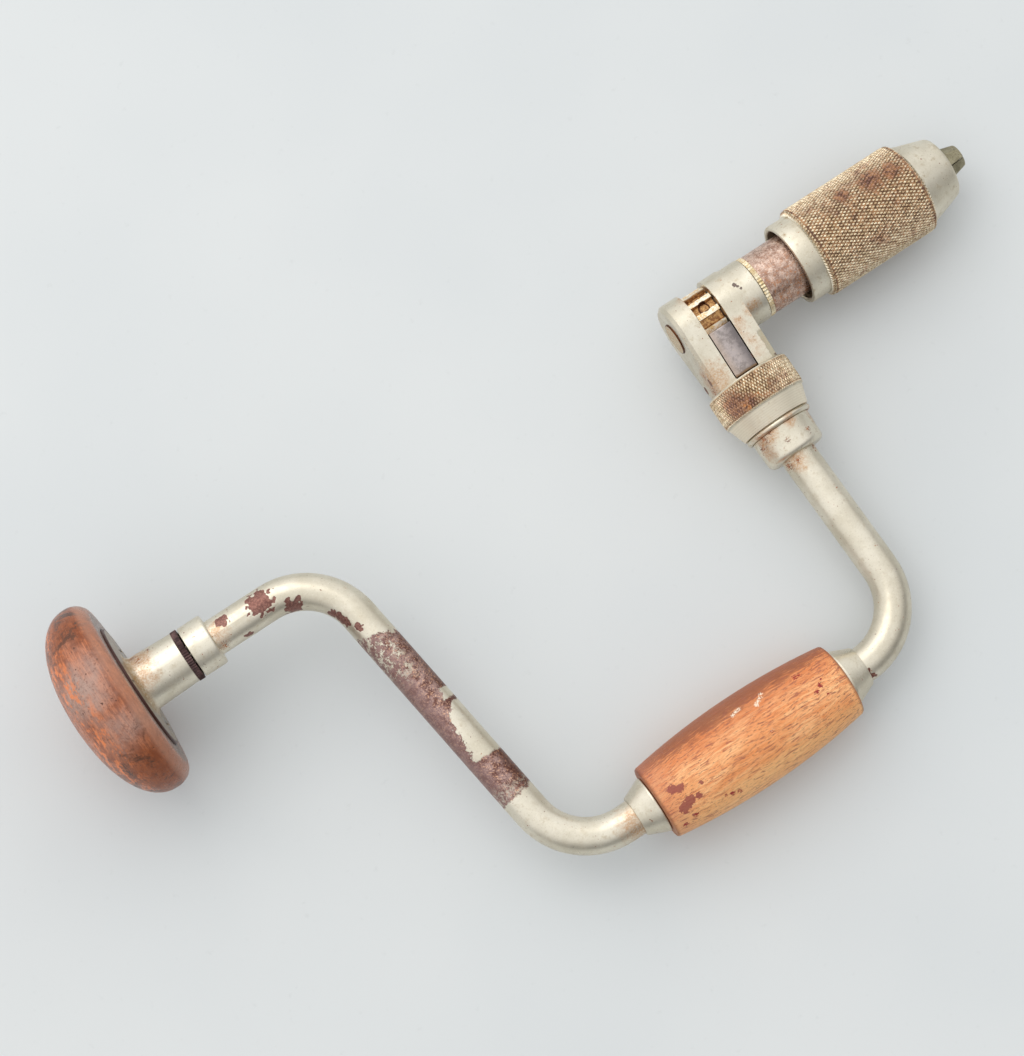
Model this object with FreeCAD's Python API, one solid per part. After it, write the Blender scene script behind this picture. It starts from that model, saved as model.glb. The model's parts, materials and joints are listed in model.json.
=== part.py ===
import FreeCAD, Part
import math
import os

from FreeCAD import Vector

# A carpenter's ratchet bit brace: turning head, bent crank, ratchet box and two-jaw chuck.
# The pieces are drawn in the brace's own frame: X runs along the spine from the head's
# dome to the chuck, the crank lies in the XY plane with the wrist handle towards -Y, and
# Z is up. At the end every piece is laid on the bench, where the brace rests on the rim
# of its head, the front of its chuck shell and its wrist handle.
# All sizes are in millimetres and degrees.

# Fits
running_gap = 0.05        # between a shaft and the bore it turns in, on the radius
seat_gap = 0.02           # between pieces that are pressed or screwed together
face_gap = 0.15           # between faces that turn past each other

# Crank frame
rod_diameter = 12.7
sweep_radius = 127.0      # spine to wrist, for a 10 inch sweep
wrist_span = 140.8        # between the wrist's two corner points
neck_length = 41.9        # collar's end to the first corner point
head_arm_lean = 8.0       # head-side arm, away from square
arm_set = 1.7             # how far the foot of the chuck-side arm is bent out
arm_set_radius = 120.0
arm_set_drop = 3.4        # below the socket's mouth
bend_radius = 23.5

# Head
pad_diameter = 70.0
pad_thickness = 24.2
pad_rim_depth = 17.5      # dome's tip to the widest place
pad_back_diameter = 59.0
pad_dome_power = 2.2      # 2 is an ellipse, more is squarer
flange_diameter = 45.6
flange_thickness = 2.5
flange_sink = 1.6         # how deep the flange is let into the wood
quill_length = 18.3       # in front of the pad
quill_root_diameter = 19.8
quill_end_diameter = 18.5
quill_root_fillet = 2.4
journal_diameter = 9.5    # end of the rod that the head turns on
screw_count = 3
screw_circle_diameter = 34.0
screw_diameter = 3.8
screw_head_diameter = 7.4
screw_length = 12.0
screw_slot_width = 0.9
screw_slot_depth = 0.9
nut_across_flats = 14.0
nut_height = 5.5
nut_washer_diameter = 17.0
nut_washer_thickness = 1.2
nut_room = 1.5            # free space around the nut inside the pad
cap_diameter = 18.9
cap_width = 2.1
cap_serrations = 64
cap_serration_depth = 0.3
collar_diameter = 18.6
collar_length = 8.7
collar_gap = 0.5          # dark gap between the cap and the collar
collar_edge = 0.9
ball_diameter = 2.9
ball_circle_diameter = 14.0
ball_count = 14

# Wrist
handle_length = 75.0
handle_diameter = 32.2
handle_end_diameter = 26.4
handle_edge = 0.8
handle_bore_gap = 0.09
ferrule_length = 7.8
ferrule_diameter = 20.4
ferrule_tip_diameter = 14.3
ferrule_land = 0.8
ferrule_gap = 0.25        # the handle's end play at each end

# Ratchet box, measured from the crossing of the spine and the arm's axis
ear_radius = 12.0
slot_width = 9.3
head_side_ear = 7.75
chuck_side_ear = 7.0
box_depth = 24.5          # spine to the shoulder over the cam ring
box_foot_height = 8.3     # half height of the ears at that shoulder
ear_edge = 1.2
boss_diameter = 23.2
boss_length = 7.9
boss_edge = 0.4
stem_diameter = 21.9
stem_mouth_diameter = 21.3
stem_length = 31.6        # shoulder to the socket's mouth
stem_edge = 2.2
pawl_slot_depth = 7.6     # slot between the ears, below the shoulder
socket_start = 9.3        # below the shoulder, the blind end of the rod's socket
box_pin_diameter = 3.2
box_pin_drop = 15.1       # below the shoulder
box_pin_short = 0.4       # how far its ends stay inside the stem

# Ratchet wheel
wheel_diameter = 20.8
wheel_root_diameter = 17.0
wheel_teeth = 12
wheel_land_angle = 10.6
wheel_width = 8.4
wheel_pin_diameter = 3.4
journal_of_spindle = 11.6

# Pawls, cam ring and detent
pawl_width = 8.4
pawl_pin_diameter = 3.0
pawl_pin_drop = 20.0      # spine to the pin, along the arm
pawl_pin_height = 6.4
pawl_nose_width = 1.2
pawl_reach = 9.7          # spine to the nose's tip with the cam ring at neutral
pawl_top_gap = 0.15       # below the edges of the ears
pawl_belly = 3.9          # height of the underside over the brace's plane
pawl_tail_start = 2.2     # below the shoulder, the near side of the tail
pawl_tail_length = 3.4
pawl_tail_radius = 11.85
pawl_tail_seat = 5.0      # height of the spring's seat
pawl_seat_room = 1.6      # seat beyond the spring, which shifts as the pawls tilt
pawl_bevel = 1.6
cam_turn = 35.0           # cam ring to each side of neutral
pawl_swing = 5.8          # pawls at that turn
cam_radius = 12.6
cam_ring_diameter = 31.1
cam_knurl_length = 11.8
cam_ring_edge = 0.9
cam_skirt_top_diameter = 29.6
cam_skirt_diameter = 25.3
cam_skirt_length = 6.6
cam_lip = 1.0             # lip over the cam's room
cam_room = 5.3            # length of the cam's room along the arm
ring_wire_diameter = 2.0
ring_groove_depth = 0.5
ring_split_angle = 18.0
detent_ball_diameter = 3.0
detent_drop = 11.8        # below the shoulder
detent_stand = 0.4        # how far the ball stands out of the stem
detent_pocket = 0.15      # deeper than the groove it runs in
detent_spring_wire = 0.4
detent_spring_turns = 3
pawl_spring_drop = 3.8    # below the shoulder, the spring's axis
pawl_spring_diameter = 3.8
pawl_spring_wire = 0.6
pawl_spring_turns = 6

# Chuck
barrel_diameter = 22.4
barrel_length = 53.0
washer_diameter = 22.7
washer_thickness = 1.7
washer_serrations = 58
washer_serration_depth = 0.25
spindle_stand = 0.5       # spindle's end beyond the ear
shell_diameter = 33.9
shell_edge = 1.5
shell_back = 13.3         # barrel's shoulder to the shell's rear rim
shell_collar_diameter = 30.2
shell_collar_length = 7.1
shell_rear_bore = 27.0
shell_rear_depth = 12.0
thread_length = 10.0
thread_gap = 0.1
shell_room_diameter = 25.4
knurl_length = 43.7
nose_base_diameter = 30.8
nose_diameter = 22.3
nose_length = 13.3
nose_edge = 1.4
nose_wall = 2.6
nose_lip = 1.8

# Jaws, shut
jaw_turn = -65.0          # turn of the jaws about the spine
jaw_half_gap = 0.15
jaw_width = 12.3
jaw_stand = 7.2           # tip beyond the nose
jaw_tip_radius = 4.2
jaw_slope = 0.283         # radius gained per length, behind the tip
jaw_body_radius = 9.75
jaw_tail_radius = 6.6
jaw_length = 45.0
jaw_tail_taper = 10.0
jaw_tail_bevel = 0.6      # lets each jaw rock on the slot's floor
jaw_flat = 0.95           # flats of the eight-sided nose against its round
jaw_slot_gap = 0.15
cone_gap = 0.1
shank_diameter = 6.35     # round shank that the shut jaws hold
shank_grip = 9.0
tang_square = 5.6         # square tang's pocket behind the round grip
tang_length = 30.0
jaw_spring_width = 3.0
jaw_spring_thickness = 0.5
jaw_spring_reach = 11.0
jaw_spring_half = 1.9     # half the height of the bent spring

# Stations along the spine, from the tip of the head's dome
pad_back = pad_thickness
quill_end = pad_back + quill_length
cap_end = quill_end + cap_width
collar_start = cap_end + collar_gap
collar_end = collar_start + collar_length
corner_one = collar_end + neck_length
corner_two = corner_one + sweep_radius * math.tan(math.radians(head_arm_lean))
corner_three = corner_two + wrist_span
arm_station = corner_three - arm_set
wrist_middle = (corner_two + corner_three) / 2

# Stations from the arm's axis, along the spine
ear_outer = -slot_width / 2 - head_side_ear
ear_inner = slot_width / 2 + chuck_side_ear
boss_end = ear_inner + boss_length
washer_start = boss_end + face_gap
barrel_start = washer_start + washer_thickness
barrel_end = barrel_start + barrel_length
shell_start = barrel_start + shell_back
knurl_start = shell_start + shell_collar_length
knurl_end = knurl_start + knurl_length
nose_end = knurl_end + nose_length
jaw_tip = nose_end + jaw_stand
jaw_tail = jaw_tip - jaw_length

# Places along the arm, from the spine
stem_end = box_depth + stem_length
pawl_slot_end = box_depth + pawl_slot_depth
socket_floor = box_depth + socket_start
box_pin_place = box_depth + box_pin_drop
pawl_tail_top = box_depth + pawl_tail_start
pawl_tail_end = pawl_tail_top + pawl_tail_length
pawl_spring_place = box_depth + pawl_spring_drop
detent_place = box_depth + detent_drop
ring_top = box_depth + face_gap
ring_bottom = ring_top + cam_knurl_length + cam_skirt_length
wire_place = ring_bottom + face_gap + ring_wire_diameter / 2
tail_swing = (pawl_spring_place - pawl_pin_drop) * math.tan(math.radians(pawl_swing))
cam_throw = tail_swing / math.sin(math.radians(cam_turn))

rod_radius = rod_diameter / 2
stem_radius = stem_diameter / 2
X = Vector(1, 0, 0)
Y = Vector(0, 1, 0)
Z = Vector(0, 0, 1)
spine_start = Vector(0, 0, 0)


def corner_arc(before, corner, after, radius):
    """Start, middle and end of the arc that rounds a corner."""
    back = (before - corner).normalize()
    ahead = (after - corner).normalize()
    half = back.getAngle(ahead) / 2
    inward = (back + ahead).normalize()
    centre = corner + inward * (radius / math.sin(half))
    leg = radius / math.tan(half)
    return corner + back * leg, centre - inward * radius, corner + ahead * leg


def outline(corners):
    """Closed wire through corners given as (u, v) or (u, v, rounding)."""
    points = [Vector(c[0], c[1], 0) for c in corners]
    radii = [c[2] if len(c) > 2 else 0 for c in corners]
    edges = []
    ends = []
    for i, point in enumerate(points):
        if radii[i] > 0:
            following = points[(i + 1) % len(points)]
            start, middle, end = corner_arc(points[i - 1], point, following, radii[i])
            edges.append(Part.Arc(start, middle, end).toShape())
            ends.append((start, end))
        else:
            ends.append((point, point))
    for i in range(len(points)):
        leave = ends[i - 1][1]
        arrive = ends[i][0]
        if leave.distanceToPoint(arrive) > 1e-6:
            edges.append(Part.LineSegment(leave, arrive).toShape())
    return Part.Wire(Part.__sortEdges__(edges))


def turned(corners, angle=360.0):
    """Body turned about X from an outline of (x, radius) corners."""
    return Part.Face(outline(corners)).revolve(spine_start, X, angle)


def rod_x(radius, start, end, y=0.0, z=0.0):
    return Part.makeCylinder(radius, end - start, Vector(start, y, z), X)


def plate_x(corners, start, end):
    """Flat piece across X, from an outline of (y, z) corners."""
    wire = outline(corners)
    wire.rotate(spine_start, Vector(1, 1, 1), 120)
    return Part.Face(wire).extrude(X * (end - start)).translate(X * start)


def on_arm(shape):
    """Carry a body turned about X onto the arm, X becoming the way down from the spine."""
    moved = shape.copy()
    moved.rotate(spine_start, Z, -90)
    moved.translate(X * arm_station)
    return moved


def at_box(shape):
    moved = shape.copy()
    moved.translate(X * arm_station)
    return moved


def at_wrist(shape):
    moved = shape.copy()
    moved.translate(Vector(wrist_middle, -sweep_radius, 0))
    return moved


def round_x(shape, count, first=0.0):
    """Copies of a shape spaced evenly about X."""
    copies = []
    for i in range(count):
        copy = shape.copy()
        copy.rotate(spine_start, X, first + 360.0 * i / count)
        copies.append(copy)
    return copies


def serrated(radius, depth, count, bore, start, end):
    """Ring about X with a fine toothed edge."""
    points = []
    for i in range(count * 2):
        angle = math.pi * i / count
        reach = radius if i % 2 == 0 else radius - depth
        points.append((reach * math.cos(angle), reach * math.sin(angle)))
    return plate_x(points, start, end).cut(rod_x(bore, start, end))


def race(radius, pitch_radius, station):
    """Groove that the balls run in."""
    torus = Part.makeTorus(pitch_radius, radius, spine_start, X)
    torus.translate(X * station)
    return torus


def ellipse_run(x_centre, r_centre, depth, height, power, first, last, steps=8):
    """Points of a quarter of a rounded form, between two angles from its rim."""
    points = []
    for i in range(steps + 1):
        angle = math.radians(first + (last - first) * i / steps)
        along = math.copysign(abs(math.sin(angle)) ** (2 / power), math.sin(angle))
        out = abs(math.cos(angle)) ** (2 / power)
        points.append(Vector(x_centre + depth * along, r_centre + height * out, 0))
    return points


def smooth(points, start_way, end_way):
    curve = Part.BSplineCurve()
    curve.interpolate(Points=points, InitialTangent=start_way, FinalTangent=end_way)
    return curve.toShape()


def screw_stations():
    return round_x(Part.Vertex(0, 0, screw_circle_diameter / 2), screw_count)


def countersink(gap):
    """A wood screw's form, its head flush with the flange, along X."""
    face = pad_back - flange_sink + flange_thickness
    head = screw_head_diameter / 2
    shank = screw_diameter / 2
    tip = face - screw_length
    return turned([
        (face, 0),
        (face, head + gap),
        (face - (head - shank), shank + gap),
        (tip + screw_diameter - gap, shank + gap),
        (tip - gap, 0),
    ])


def screw_bodies(gap):
    bodies = []
    for place in screw_stations():
        body = countersink(gap)
        body.translate(Vector(0, place.Point.y, place.Point.z))
        bodies.append(body)
    return bodies


def nut_room_radius():
    return nut_across_flats / math.sqrt(3) + nut_room


def journal_end():
    """The rod's far end, one thread's width beyond its nut."""
    return pad_back - flange_sink - face_gap - nut_washer_thickness - nut_height - 1.0


def head_pad():
    rim = pad_diameter / 2
    back = pad_back_diameter / 2
    dome = ellipse_run(pad_rim_depth, 0, pad_rim_depth, rim, pad_dome_power, -90, 0)
    edge = ellipse_run(pad_rim_depth, back, pad_thickness - pad_rim_depth, rim - back, 2, 0, 90)
    recess = flange_diameter / 2 + seat_gap
    inside = [
        Vector(pad_back, back, 0),
        Vector(pad_back, recess, 0),
        Vector(pad_back - flange_sink, recess, 0),
        Vector(pad_back - flange_sink, nut_room_radius(), 0),
        Vector(journal_end() - nut_room, nut_room_radius(), 0),
        Vector(journal_end() - nut_room, 0, 0),
        Vector(0, 0, 0),
    ]
    edges = [smooth(dome, Y, X), smooth(edge, X, -Y)]
    for start, end in zip(inside, inside[1:]):
        edges.append(Part.LineSegment(start, end).toShape())
    wood = Part.Face(Part.Wire(Part.__sortEdges__(edges))).revolve(spine_start, X, 360)
    return wood.cut(screw_bodies(seat_gap))


def head_quill():
    bore = journal_diameter / 2 + running_gap
    back = pad_back - flange_sink
    front = back + flange_thickness
    sleeve = turned([
        (back, bore),
        (back, flange_diameter / 2),
        (front, flange_diameter / 2, 0.5),
        (front, quill_root_diameter / 2, quill_root_fillet),
        (quill_end, quill_end_diameter / 2, 0.2),
        (quill_end, bore),
    ])
    middle = (quill_end + collar_start) / 2
    groove = race(ball_diameter / 2 + running_gap, ball_circle_diameter / 2, middle)
    return sleeve.cut(screw_bodies(seat_gap) + [groove])


def head_screws():
    """Slotted wood screws that hold the flange to the pad."""
    face = pad_back - flange_sink + flange_thickness
    screws = []
    for body, place in zip(screw_bodies(0), screw_stations()):
        slot = Part.makeBox(screw_slot_depth, screw_slot_width, screw_head_diameter * 2)
        slot.translate(Vector(face - screw_slot_depth, -screw_slot_width / 2, -screw_head_diameter))
        slot.translate(Vector(0, place.Point.y, place.Point.z))
        screws.append(body.cut(slot))
    return Part.Compound(screws)


def head_bearing_cap():
    return serrated(cap_diameter / 2, cap_serration_depth, cap_serrations,
                    (ball_circle_diameter + ball_diameter) / 2 + running_gap, quill_end, cap_end)


def head_bearing_balls():
    middle = (quill_end + collar_start) / 2
    ball = Part.makeSphere(ball_diameter / 2, Vector(middle, 0, ball_circle_diameter / 2))
    return Part.Compound(round_x(ball, ball_count))


def head_collar():
    bore = rod_radius + seat_gap
    ring = turned([
        (collar_start, bore),
        (collar_start, collar_diameter / 2, 0.3),
        (collar_end, collar_diameter / 2, collar_edge),
        (collar_end, bore),
    ])
    middle = (quill_end + collar_start) / 2
    return ring.cut(race(ball_diameter / 2 + running_gap, ball_circle_diameter / 2, middle))


def head_washer():
    face = pad_back - flange_sink - face_gap
    return turned([
        (face - nut_washer_thickness, journal_diameter / 2 + seat_gap),
        (face - nut_washer_thickness, nut_washer_diameter / 2),
        (face, nut_washer_diameter / 2, 0.2),
        (face, journal_diameter / 2 + seat_gap),
    ])


def head_nut():
    front = pad_back - flange_sink - face_gap - nut_washer_thickness
    corner = nut_across_flats / math.sqrt(3)
    points = []
    for i in range(6):
        angle = math.radians(60 * i)
        points.append((corner * math.cos(angle), corner * math.sin(angle)))
    blank = plate_x(points, front - nut_height, front)
    chamfered = turned([
        (front - nut_height, 0),
        (front - nut_height, nut_across_flats / 2),
        (front - nut_height + 0.8, corner),
        (front, corner),
        (front, 0),
    ])
    return blank.common(chamfered).cut(rod_x(journal_diameter / 2 + seat_gap, front - nut_height, front))


def crank_frame():
    """One rod, bent three times, with the head's journal turned on its end."""
    mouth = Vector(arm_station, -stem_end - arm_set_drop, 0)
    points = [
        Vector(collar_start, 0, 0),
        Vector(corner_one, 0, 0),
        Vector(corner_two, -sweep_radius, 0),
        Vector(corner_three, -sweep_radius, 0),
        mouth,
        Vector(arm_station, -socket_floor - face_gap, 0),
    ]
    radii = [0, bend_radius, bend_radius, bend_radius, arm_set_radius, 0]
    pieces = []
    start = points[0]
    for i in range(1, len(points)):
        if radii[i] > 0:
            first, _, last = corner_arc(points[i - 1], points[i], points[i + 1], radii[i])
            pieces.append(rod_bend(points[i - 1], points[i], points[i + 1], radii[i]))
        else:
            first = last = points[i]
        way = first - start
        pieces.append(Part.makeCylinder(rod_radius, way.Length, start, way))
        start = last
    rod = pieces[0].fuse(pieces[1:]).removeSplitter()
    journal = turned([
        (journal_end(), 0),
        (journal_end(), journal_diameter / 2, 0.6),
        (collar_start, journal_diameter / 2),
        (collar_start, 0),
    ])
    rod = rod.fuse(journal).removeSplitter()
    return rod.cut(box_pin_hole())


def rod_bend(before, corner, after, radius):
    """The bent stretch of rod at a corner."""
    start, _, _ = corner_arc(before, corner, after, radius)
    into = (corner - before).normalize()
    out = (after - corner).normalize()
    normal = into.cross(out).normalize()
    centre = start + normal.cross(into) * radius
    section = Part.Face(Part.Wire(Part.makeCircle(rod_radius, start, into)))
    return section.revolve(centre, normal, math.degrees(into.getAngle(out)))


def handle_ferrule(side):
    """Cone on the rod beside the handle; side is -1 at the head's end, 1 at the chuck's."""
    start = handle_length / 2 + ferrule_gap
    bore = rod_radius + seat_gap
    cone = turned([
        (start, bore),
        (start, ferrule_diameter / 2, 0.3),
        (start + ferrule_land, ferrule_diameter / 2),
        (start + ferrule_length, ferrule_tip_diameter / 2, 0.3),
        (start + ferrule_length, bore),
    ])
    if side < 0:
        cone = cone.mirror(spine_start, X)
    return at_wrist(cone)


def handle_arc_radius():
    drop = (handle_diameter - handle_end_diameter) / 2
    return ((handle_length / 2) ** 2 + drop ** 2) / (2 * drop)


def wrist_handle():
    half = handle_length / 2
    end = handle_end_diameter / 2
    bore = rod_radius + handle_bore_gap
    left = Vector(-half, end, 0)
    right = Vector(half, end, 0)
    edges = [Part.Arc(left, Vector(0, handle_diameter / 2, 0), right).toShape()]
    corners = [right, Vector(half, bore, 0), Vector(-half, bore, 0), left]
    for start, stop in zip(corners, corners[1:]):
        edges.append(Part.LineSegment(start, stop).toShape())
    barrel = Part.Face(Part.Wire(Part.__sortEdges__(edges))).revolve(spine_start, X, 360)
    rims = []
    for edge in barrel.Edges:
        box = edge.BoundBox
        if box.XLength < 1e-6 and box.YLength > handle_end_diameter - 1:
            rims.append(edge)
    return at_wrist(barrel.makeFillet(handle_edge, rims))


def ear_edge_height(drop):
    """Half height of the ears, drop millimetres down the arm from the spine."""
    reach = math.hypot(box_depth, box_foot_height)
    touch = math.atan2(box_foot_height, box_depth) + math.acos(ear_radius / reach)
    top_drop = ear_radius * math.cos(touch)
    top_height = ear_radius * math.sin(touch)
    slope = (top_height - box_foot_height) / (box_depth - top_drop)
    return top_height - slope * (drop - top_drop)


def ear_tangent():
    """Angle, from the way down the arm, where the ears' straight edge leaves their round."""
    reach = math.hypot(box_depth, box_foot_height)
    return math.atan2(box_foot_height, box_depth) + math.acos(ear_radius / reach)


def ear_outline():
    """The ears' round top running down in straight edges to their foot."""
    touch = ear_tangent()
    across = ear_radius * math.cos(touch)
    high = ear_radius * math.sin(touch)
    upper = Vector(0, -across, high)
    lower = Vector(0, -across, -high)
    foot_upper = Vector(0, -box_depth, box_foot_height)
    foot_lower = Vector(0, -box_depth, -box_foot_height)
    edges = [
        Part.Arc(upper, Vector(0, ear_radius, 0), lower).toShape(),
        Part.LineSegment(lower, foot_lower).toShape(),
        Part.LineSegment(foot_lower, foot_upper).toShape(),
        Part.LineSegment(foot_upper, upper).toShape(),
    ]
    return Part.Face(Part.Wire(edges))


def across_stem(radius, half):
    """Round bar through the stem's middle, along Z."""
    bar = Part.makeCylinder(radius, 2 * half, Vector(0, 0, -half), Z)
    bar.translate(Vector(arm_station, -box_pin_place, 0))
    return bar


def box_pin_hole():
    return across_stem(box_pin_diameter / 2 + seat_gap, stem_radius + 1)


def pawl_pin_places():
    return [(-pawl_pin_drop, pawl_pin_height), (-pawl_pin_drop, -pawl_pin_height)]


def ratchet_box():
    """Two ears for the wheel, a boss for the spindle and the stem that holds the rod."""
    block = ear_outline().extrude(X * (ear_inner - ear_outer)).translate(X * ear_outer)
    block = block.makeChamfer(ear_edge, [e for e in block.Edges if outer_rim(e)])
    boss = turned([
        (ear_inner - 1, 0),
        (ear_inner - 1, boss_diameter / 2),
        (boss_end, boss_diameter / 2, boss_edge),
        (boss_end, 0),
    ])
    slot = Part.makeBox(slot_width, ear_radius + pawl_slot_end + 1, 4 * ear_radius,
                        Vector(-slot_width / 2, -pawl_slot_end, -2 * ear_radius))
    bore = rod_x(journal_of_spindle / 2 + running_gap, ear_outer - 1, boss_end + 1)
    body = at_box(block.fuse(boss))
    body = body.fuse(on_arm(stem())).removeSplitter()
    holes = [at_box(slot), at_box(bore), on_arm(rod_x(rod_radius + seat_gap, socket_floor, stem_end + 1))]
    for y, z in pawl_pin_places():
        hole = rod_x(pawl_pin_diameter / 2 + seat_gap, ear_outer - 1, ear_inner + 1, y, z)
        holes.append(at_box(hole))
    holes.append(box_pin_hole())
    holes.append(detent_hole())
    return body.cut(holes)


def outer_rim(edge):
    """Whether an edge bounds the outer face of the ear on the head's side, above its foot."""
    box = edge.BoundBox
    on_face = box.XLength < 1e-6 and abs(box.XMin - ear_outer) < 1e-6
    at_foot = box.YLength < 1e-6 and abs(box.YMin + box_depth) < 1e-6
    return on_face and not at_foot


def stem():
    groove = stem_radius - ring_groove_depth
    half = ring_wire_diameter / 2 + seat_gap
    return turned([
        (box_depth - 0.5, 0),
        (box_depth - 0.5, stem_radius),
        (wire_place - half, stem_radius),
        (wire_place - half, groove),
        (wire_place + half, groove),
        (wire_place + half, stem_radius, 0.2),
        (stem_end, stem_mouth_diameter / 2, stem_edge),
        (stem_end, 0),
    ])


def box_pin():
    """Cross pin that holds the rod in its socket, hidden under the cam ring."""
    return across_stem(box_pin_diameter / 2, stem_radius - box_pin_short)


def pawl_pins():
    pins = []
    for y, z in pawl_pin_places():
        pins.append(at_box(rod_x(pawl_pin_diameter / 2, ear_outer, ear_inner, y, z)))
    return Part.Compound(pins)


def detent_centre():
    """Distance from the arm's axis to the detent ball's centre."""
    return stem_radius + detent_stand - detent_ball_diameter / 2


def detent_floor():
    return rod_radius + 0.6


def detent_hole():
    start = detent_floor()
    radius = detent_ball_diameter / 2 + running_gap
    hole = Part.makeCylinder(radius, stem_radius - start + 1, Vector(start, 0, 0), X)
    hole.translate(Vector(arm_station, -detent_place, 0))
    return hole


def detent_ball():
    centre = Vector(arm_station + detent_centre(), -detent_place, 0)
    return Part.makeSphere(detent_ball_diameter / 2, centre)


def coil(radius, wire, turns, length):
    """Spring about Z from z = 0, its wire's middle on a helix between ground flat ends."""
    rise = length - wire
    helix = Part.makeHelix(rise / turns, rise, radius)
    helix.translate(Z * (wire / 2))
    section = Part.Wire(Part.makeCircle(wire / 2, Vector(radius, 0, wire / 2), Y))
    return Part.Wire(helix).makePipeShell([section], True, True)


def detent_spring():
    reach = detent_centre() - math.sqrt((detent_ball_diameter / 2) ** 2 - detent_spring_radius() ** 2)
    length = reach - detent_floor() - 3 * running_gap
    spring = coil(detent_spring_radius(), detent_spring_wire, detent_spring_turns, length)
    spring.rotate(spine_start, Y, 90)
    return spring.translate(Vector(arm_station + detent_floor() + seat_gap, -detent_place, 0))


def detent_spring_radius():
    return detent_ball_diameter / 2 - detent_spring_wire / 2 - 0.1


def cam_ring():
    """Knurled ring over the stem, with an off-centre room that moves the pawls' tails."""
    outer = cam_ring_diameter / 2
    bore = stem_radius + running_gap
    knurl_bottom = ring_top + cam_knurl_length
    body = turned([
        (ring_top, bore),
        (ring_top, outer, cam_ring_edge),
        (knurl_bottom, outer, 0.3),
        (knurl_bottom, cam_skirt_top_diameter / 2),
        (ring_bottom, cam_skirt_diameter / 2, 0.3),
        (ring_bottom, bore),
    ])
    room_start = ring_top + cam_lip
    room = Part.makeCylinder(cam_radius, cam_room, Vector(room_start, -cam_throw, 0), X)
    return on_arm(body.cut(room).cut(detent_track()))


def detent_track():
    """Groove round the ring's bore for the ball, with a pocket at each of its three places."""
    radius = detent_ball_diameter / 2 + running_gap
    groove = rod_x(detent_centre() + radius, detent_place - radius, detent_place + radius)
    track = [groove]
    for angle in (-cam_turn, 0, cam_turn):
        pocket = Part.makeSphere(radius, Vector(detent_place, detent_centre() + detent_pocket, 0))
        pocket.rotate(spine_start, X, angle)
        track.append(pocket)
    return track


def cam_ring_retainer():
    """Split wire ring under the cam ring."""
    radius = stem_radius - ring_groove_depth + ring_wire_diameter / 2
    section = Part.Face(Part.Wire(Part.makeCircle(ring_wire_diameter / 2, Vector(wire_place, 0, -radius), Y)))
    section.rotate(spine_start, X, ring_split_angle / 2)
    return on_arm(section.revolve(spine_start, X, 360 - ring_split_angle))


def pawl_profile():
    """Side view of the upper pawl as (y, z) corners, nose in a valley 45 degrees round."""
    lean = math.sqrt(0.5)
    half = pawl_nose_width / 2
    valley_side = 0.2
    front = (-(pawl_reach - half - valley_side) * lean, (pawl_reach + half + valley_side) * lean)
    heel = (-(pawl_reach + half - valley_side) * lean, (pawl_reach - half + valley_side) * lean)
    land = wheel_diameter / 2
    room = 1.4
    top = pawl_tail_top - 2 * pawl_bevel
    seat_start = pawl_spring_place - pawl_spring_diameter / 2 - pawl_seat_room

    def upper(drop):
        return ear_edge_height(drop) - pawl_top_gap

    return [
        (front[0] - 0.05, upper(-front[0]), 0.5),
        front,
        heel,
        (-land * math.sin(math.radians(54)), land * math.cos(math.radians(54)) + room),
        (-land * math.sin(math.radians(66)), land * math.cos(math.radians(66)) + room),
        (-land - 2.6, pawl_belly, 1.0),
        (-seat_start, pawl_belly, 0.3),
        (-seat_start, pawl_tail_seat),
        (-pawl_tail_end, pawl_tail_seat),
        (-pawl_tail_end, pawl_tail_radius + 1),
        (-pawl_tail_top, pawl_tail_radius + 1),
        (-pawl_tail_top, upper(pawl_tail_top) - pawl_bevel / 2, 0.4),
        (-top - pawl_bevel, upper(top + pawl_bevel) - pawl_bevel / 2),
        (-top, upper(top)),
    ]


def pawl(side):
    """Bar in the slot; side is 1 over the brace's plane and -1 under it."""
    bar = plate_x(pawl_profile(), -pawl_width / 2, pawl_width / 2)
    hole = rod_x(pawl_pin_diameter / 2 + running_gap, -pawl_width, pawl_width, -pawl_pin_drop, pawl_pin_height)
    tail_round = Part.makeCylinder(pawl_tail_radius, 2 * pawl_tail_end, Vector(0, -2 * pawl_tail_end, 0), Y)
    bar = bar.common(tail_round).cut(hole)
    if side < 0:
        bar = bar.mirror(spine_start, Z)
    return at_box(bar)


def pawl_spring():
    length = 2 * (pawl_tail_seat - face_gap)
    spring = coil(pawl_spring_diameter / 2 - pawl_spring_wire / 2, pawl_spring_wire, pawl_spring_turns, length)
    spring.translate(Vector(arm_station, -pawl_spring_place, -length / 2))
    return spring


def ratchet_wheel():
    """Wheel with square valleys, a land at the top when the brace is at rest."""
    land = wheel_diameter / 2
    root = wheel_root_diameter / 2
    pitch = 360.0 / wheel_teeth
    half_valley = math.radians((pitch - wheel_land_angle) / 2)
    reach = land + 1
    valley = plate_x([
        (-root * math.sin(half_valley), root * math.cos(half_valley), 0.3),
        (-reach * math.sin(half_valley), reach * math.cos(half_valley)),
        (reach * math.sin(half_valley), reach * math.cos(half_valley)),
        (root * math.sin(half_valley), root * math.cos(half_valley), 0.3),
    ], -wheel_width, wheel_width)
    blank = rod_x(land, -wheel_width / 2, wheel_width / 2)
    blank = blank.cut(rod_x(journal_of_spindle / 2 + seat_gap, -wheel_width, wheel_width))
    blank = blank.cut(round_x(valley, wheel_teeth, pitch / 2))
    return at_box(blank.cut(wheel_pin_body(seat_gap)))


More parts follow.
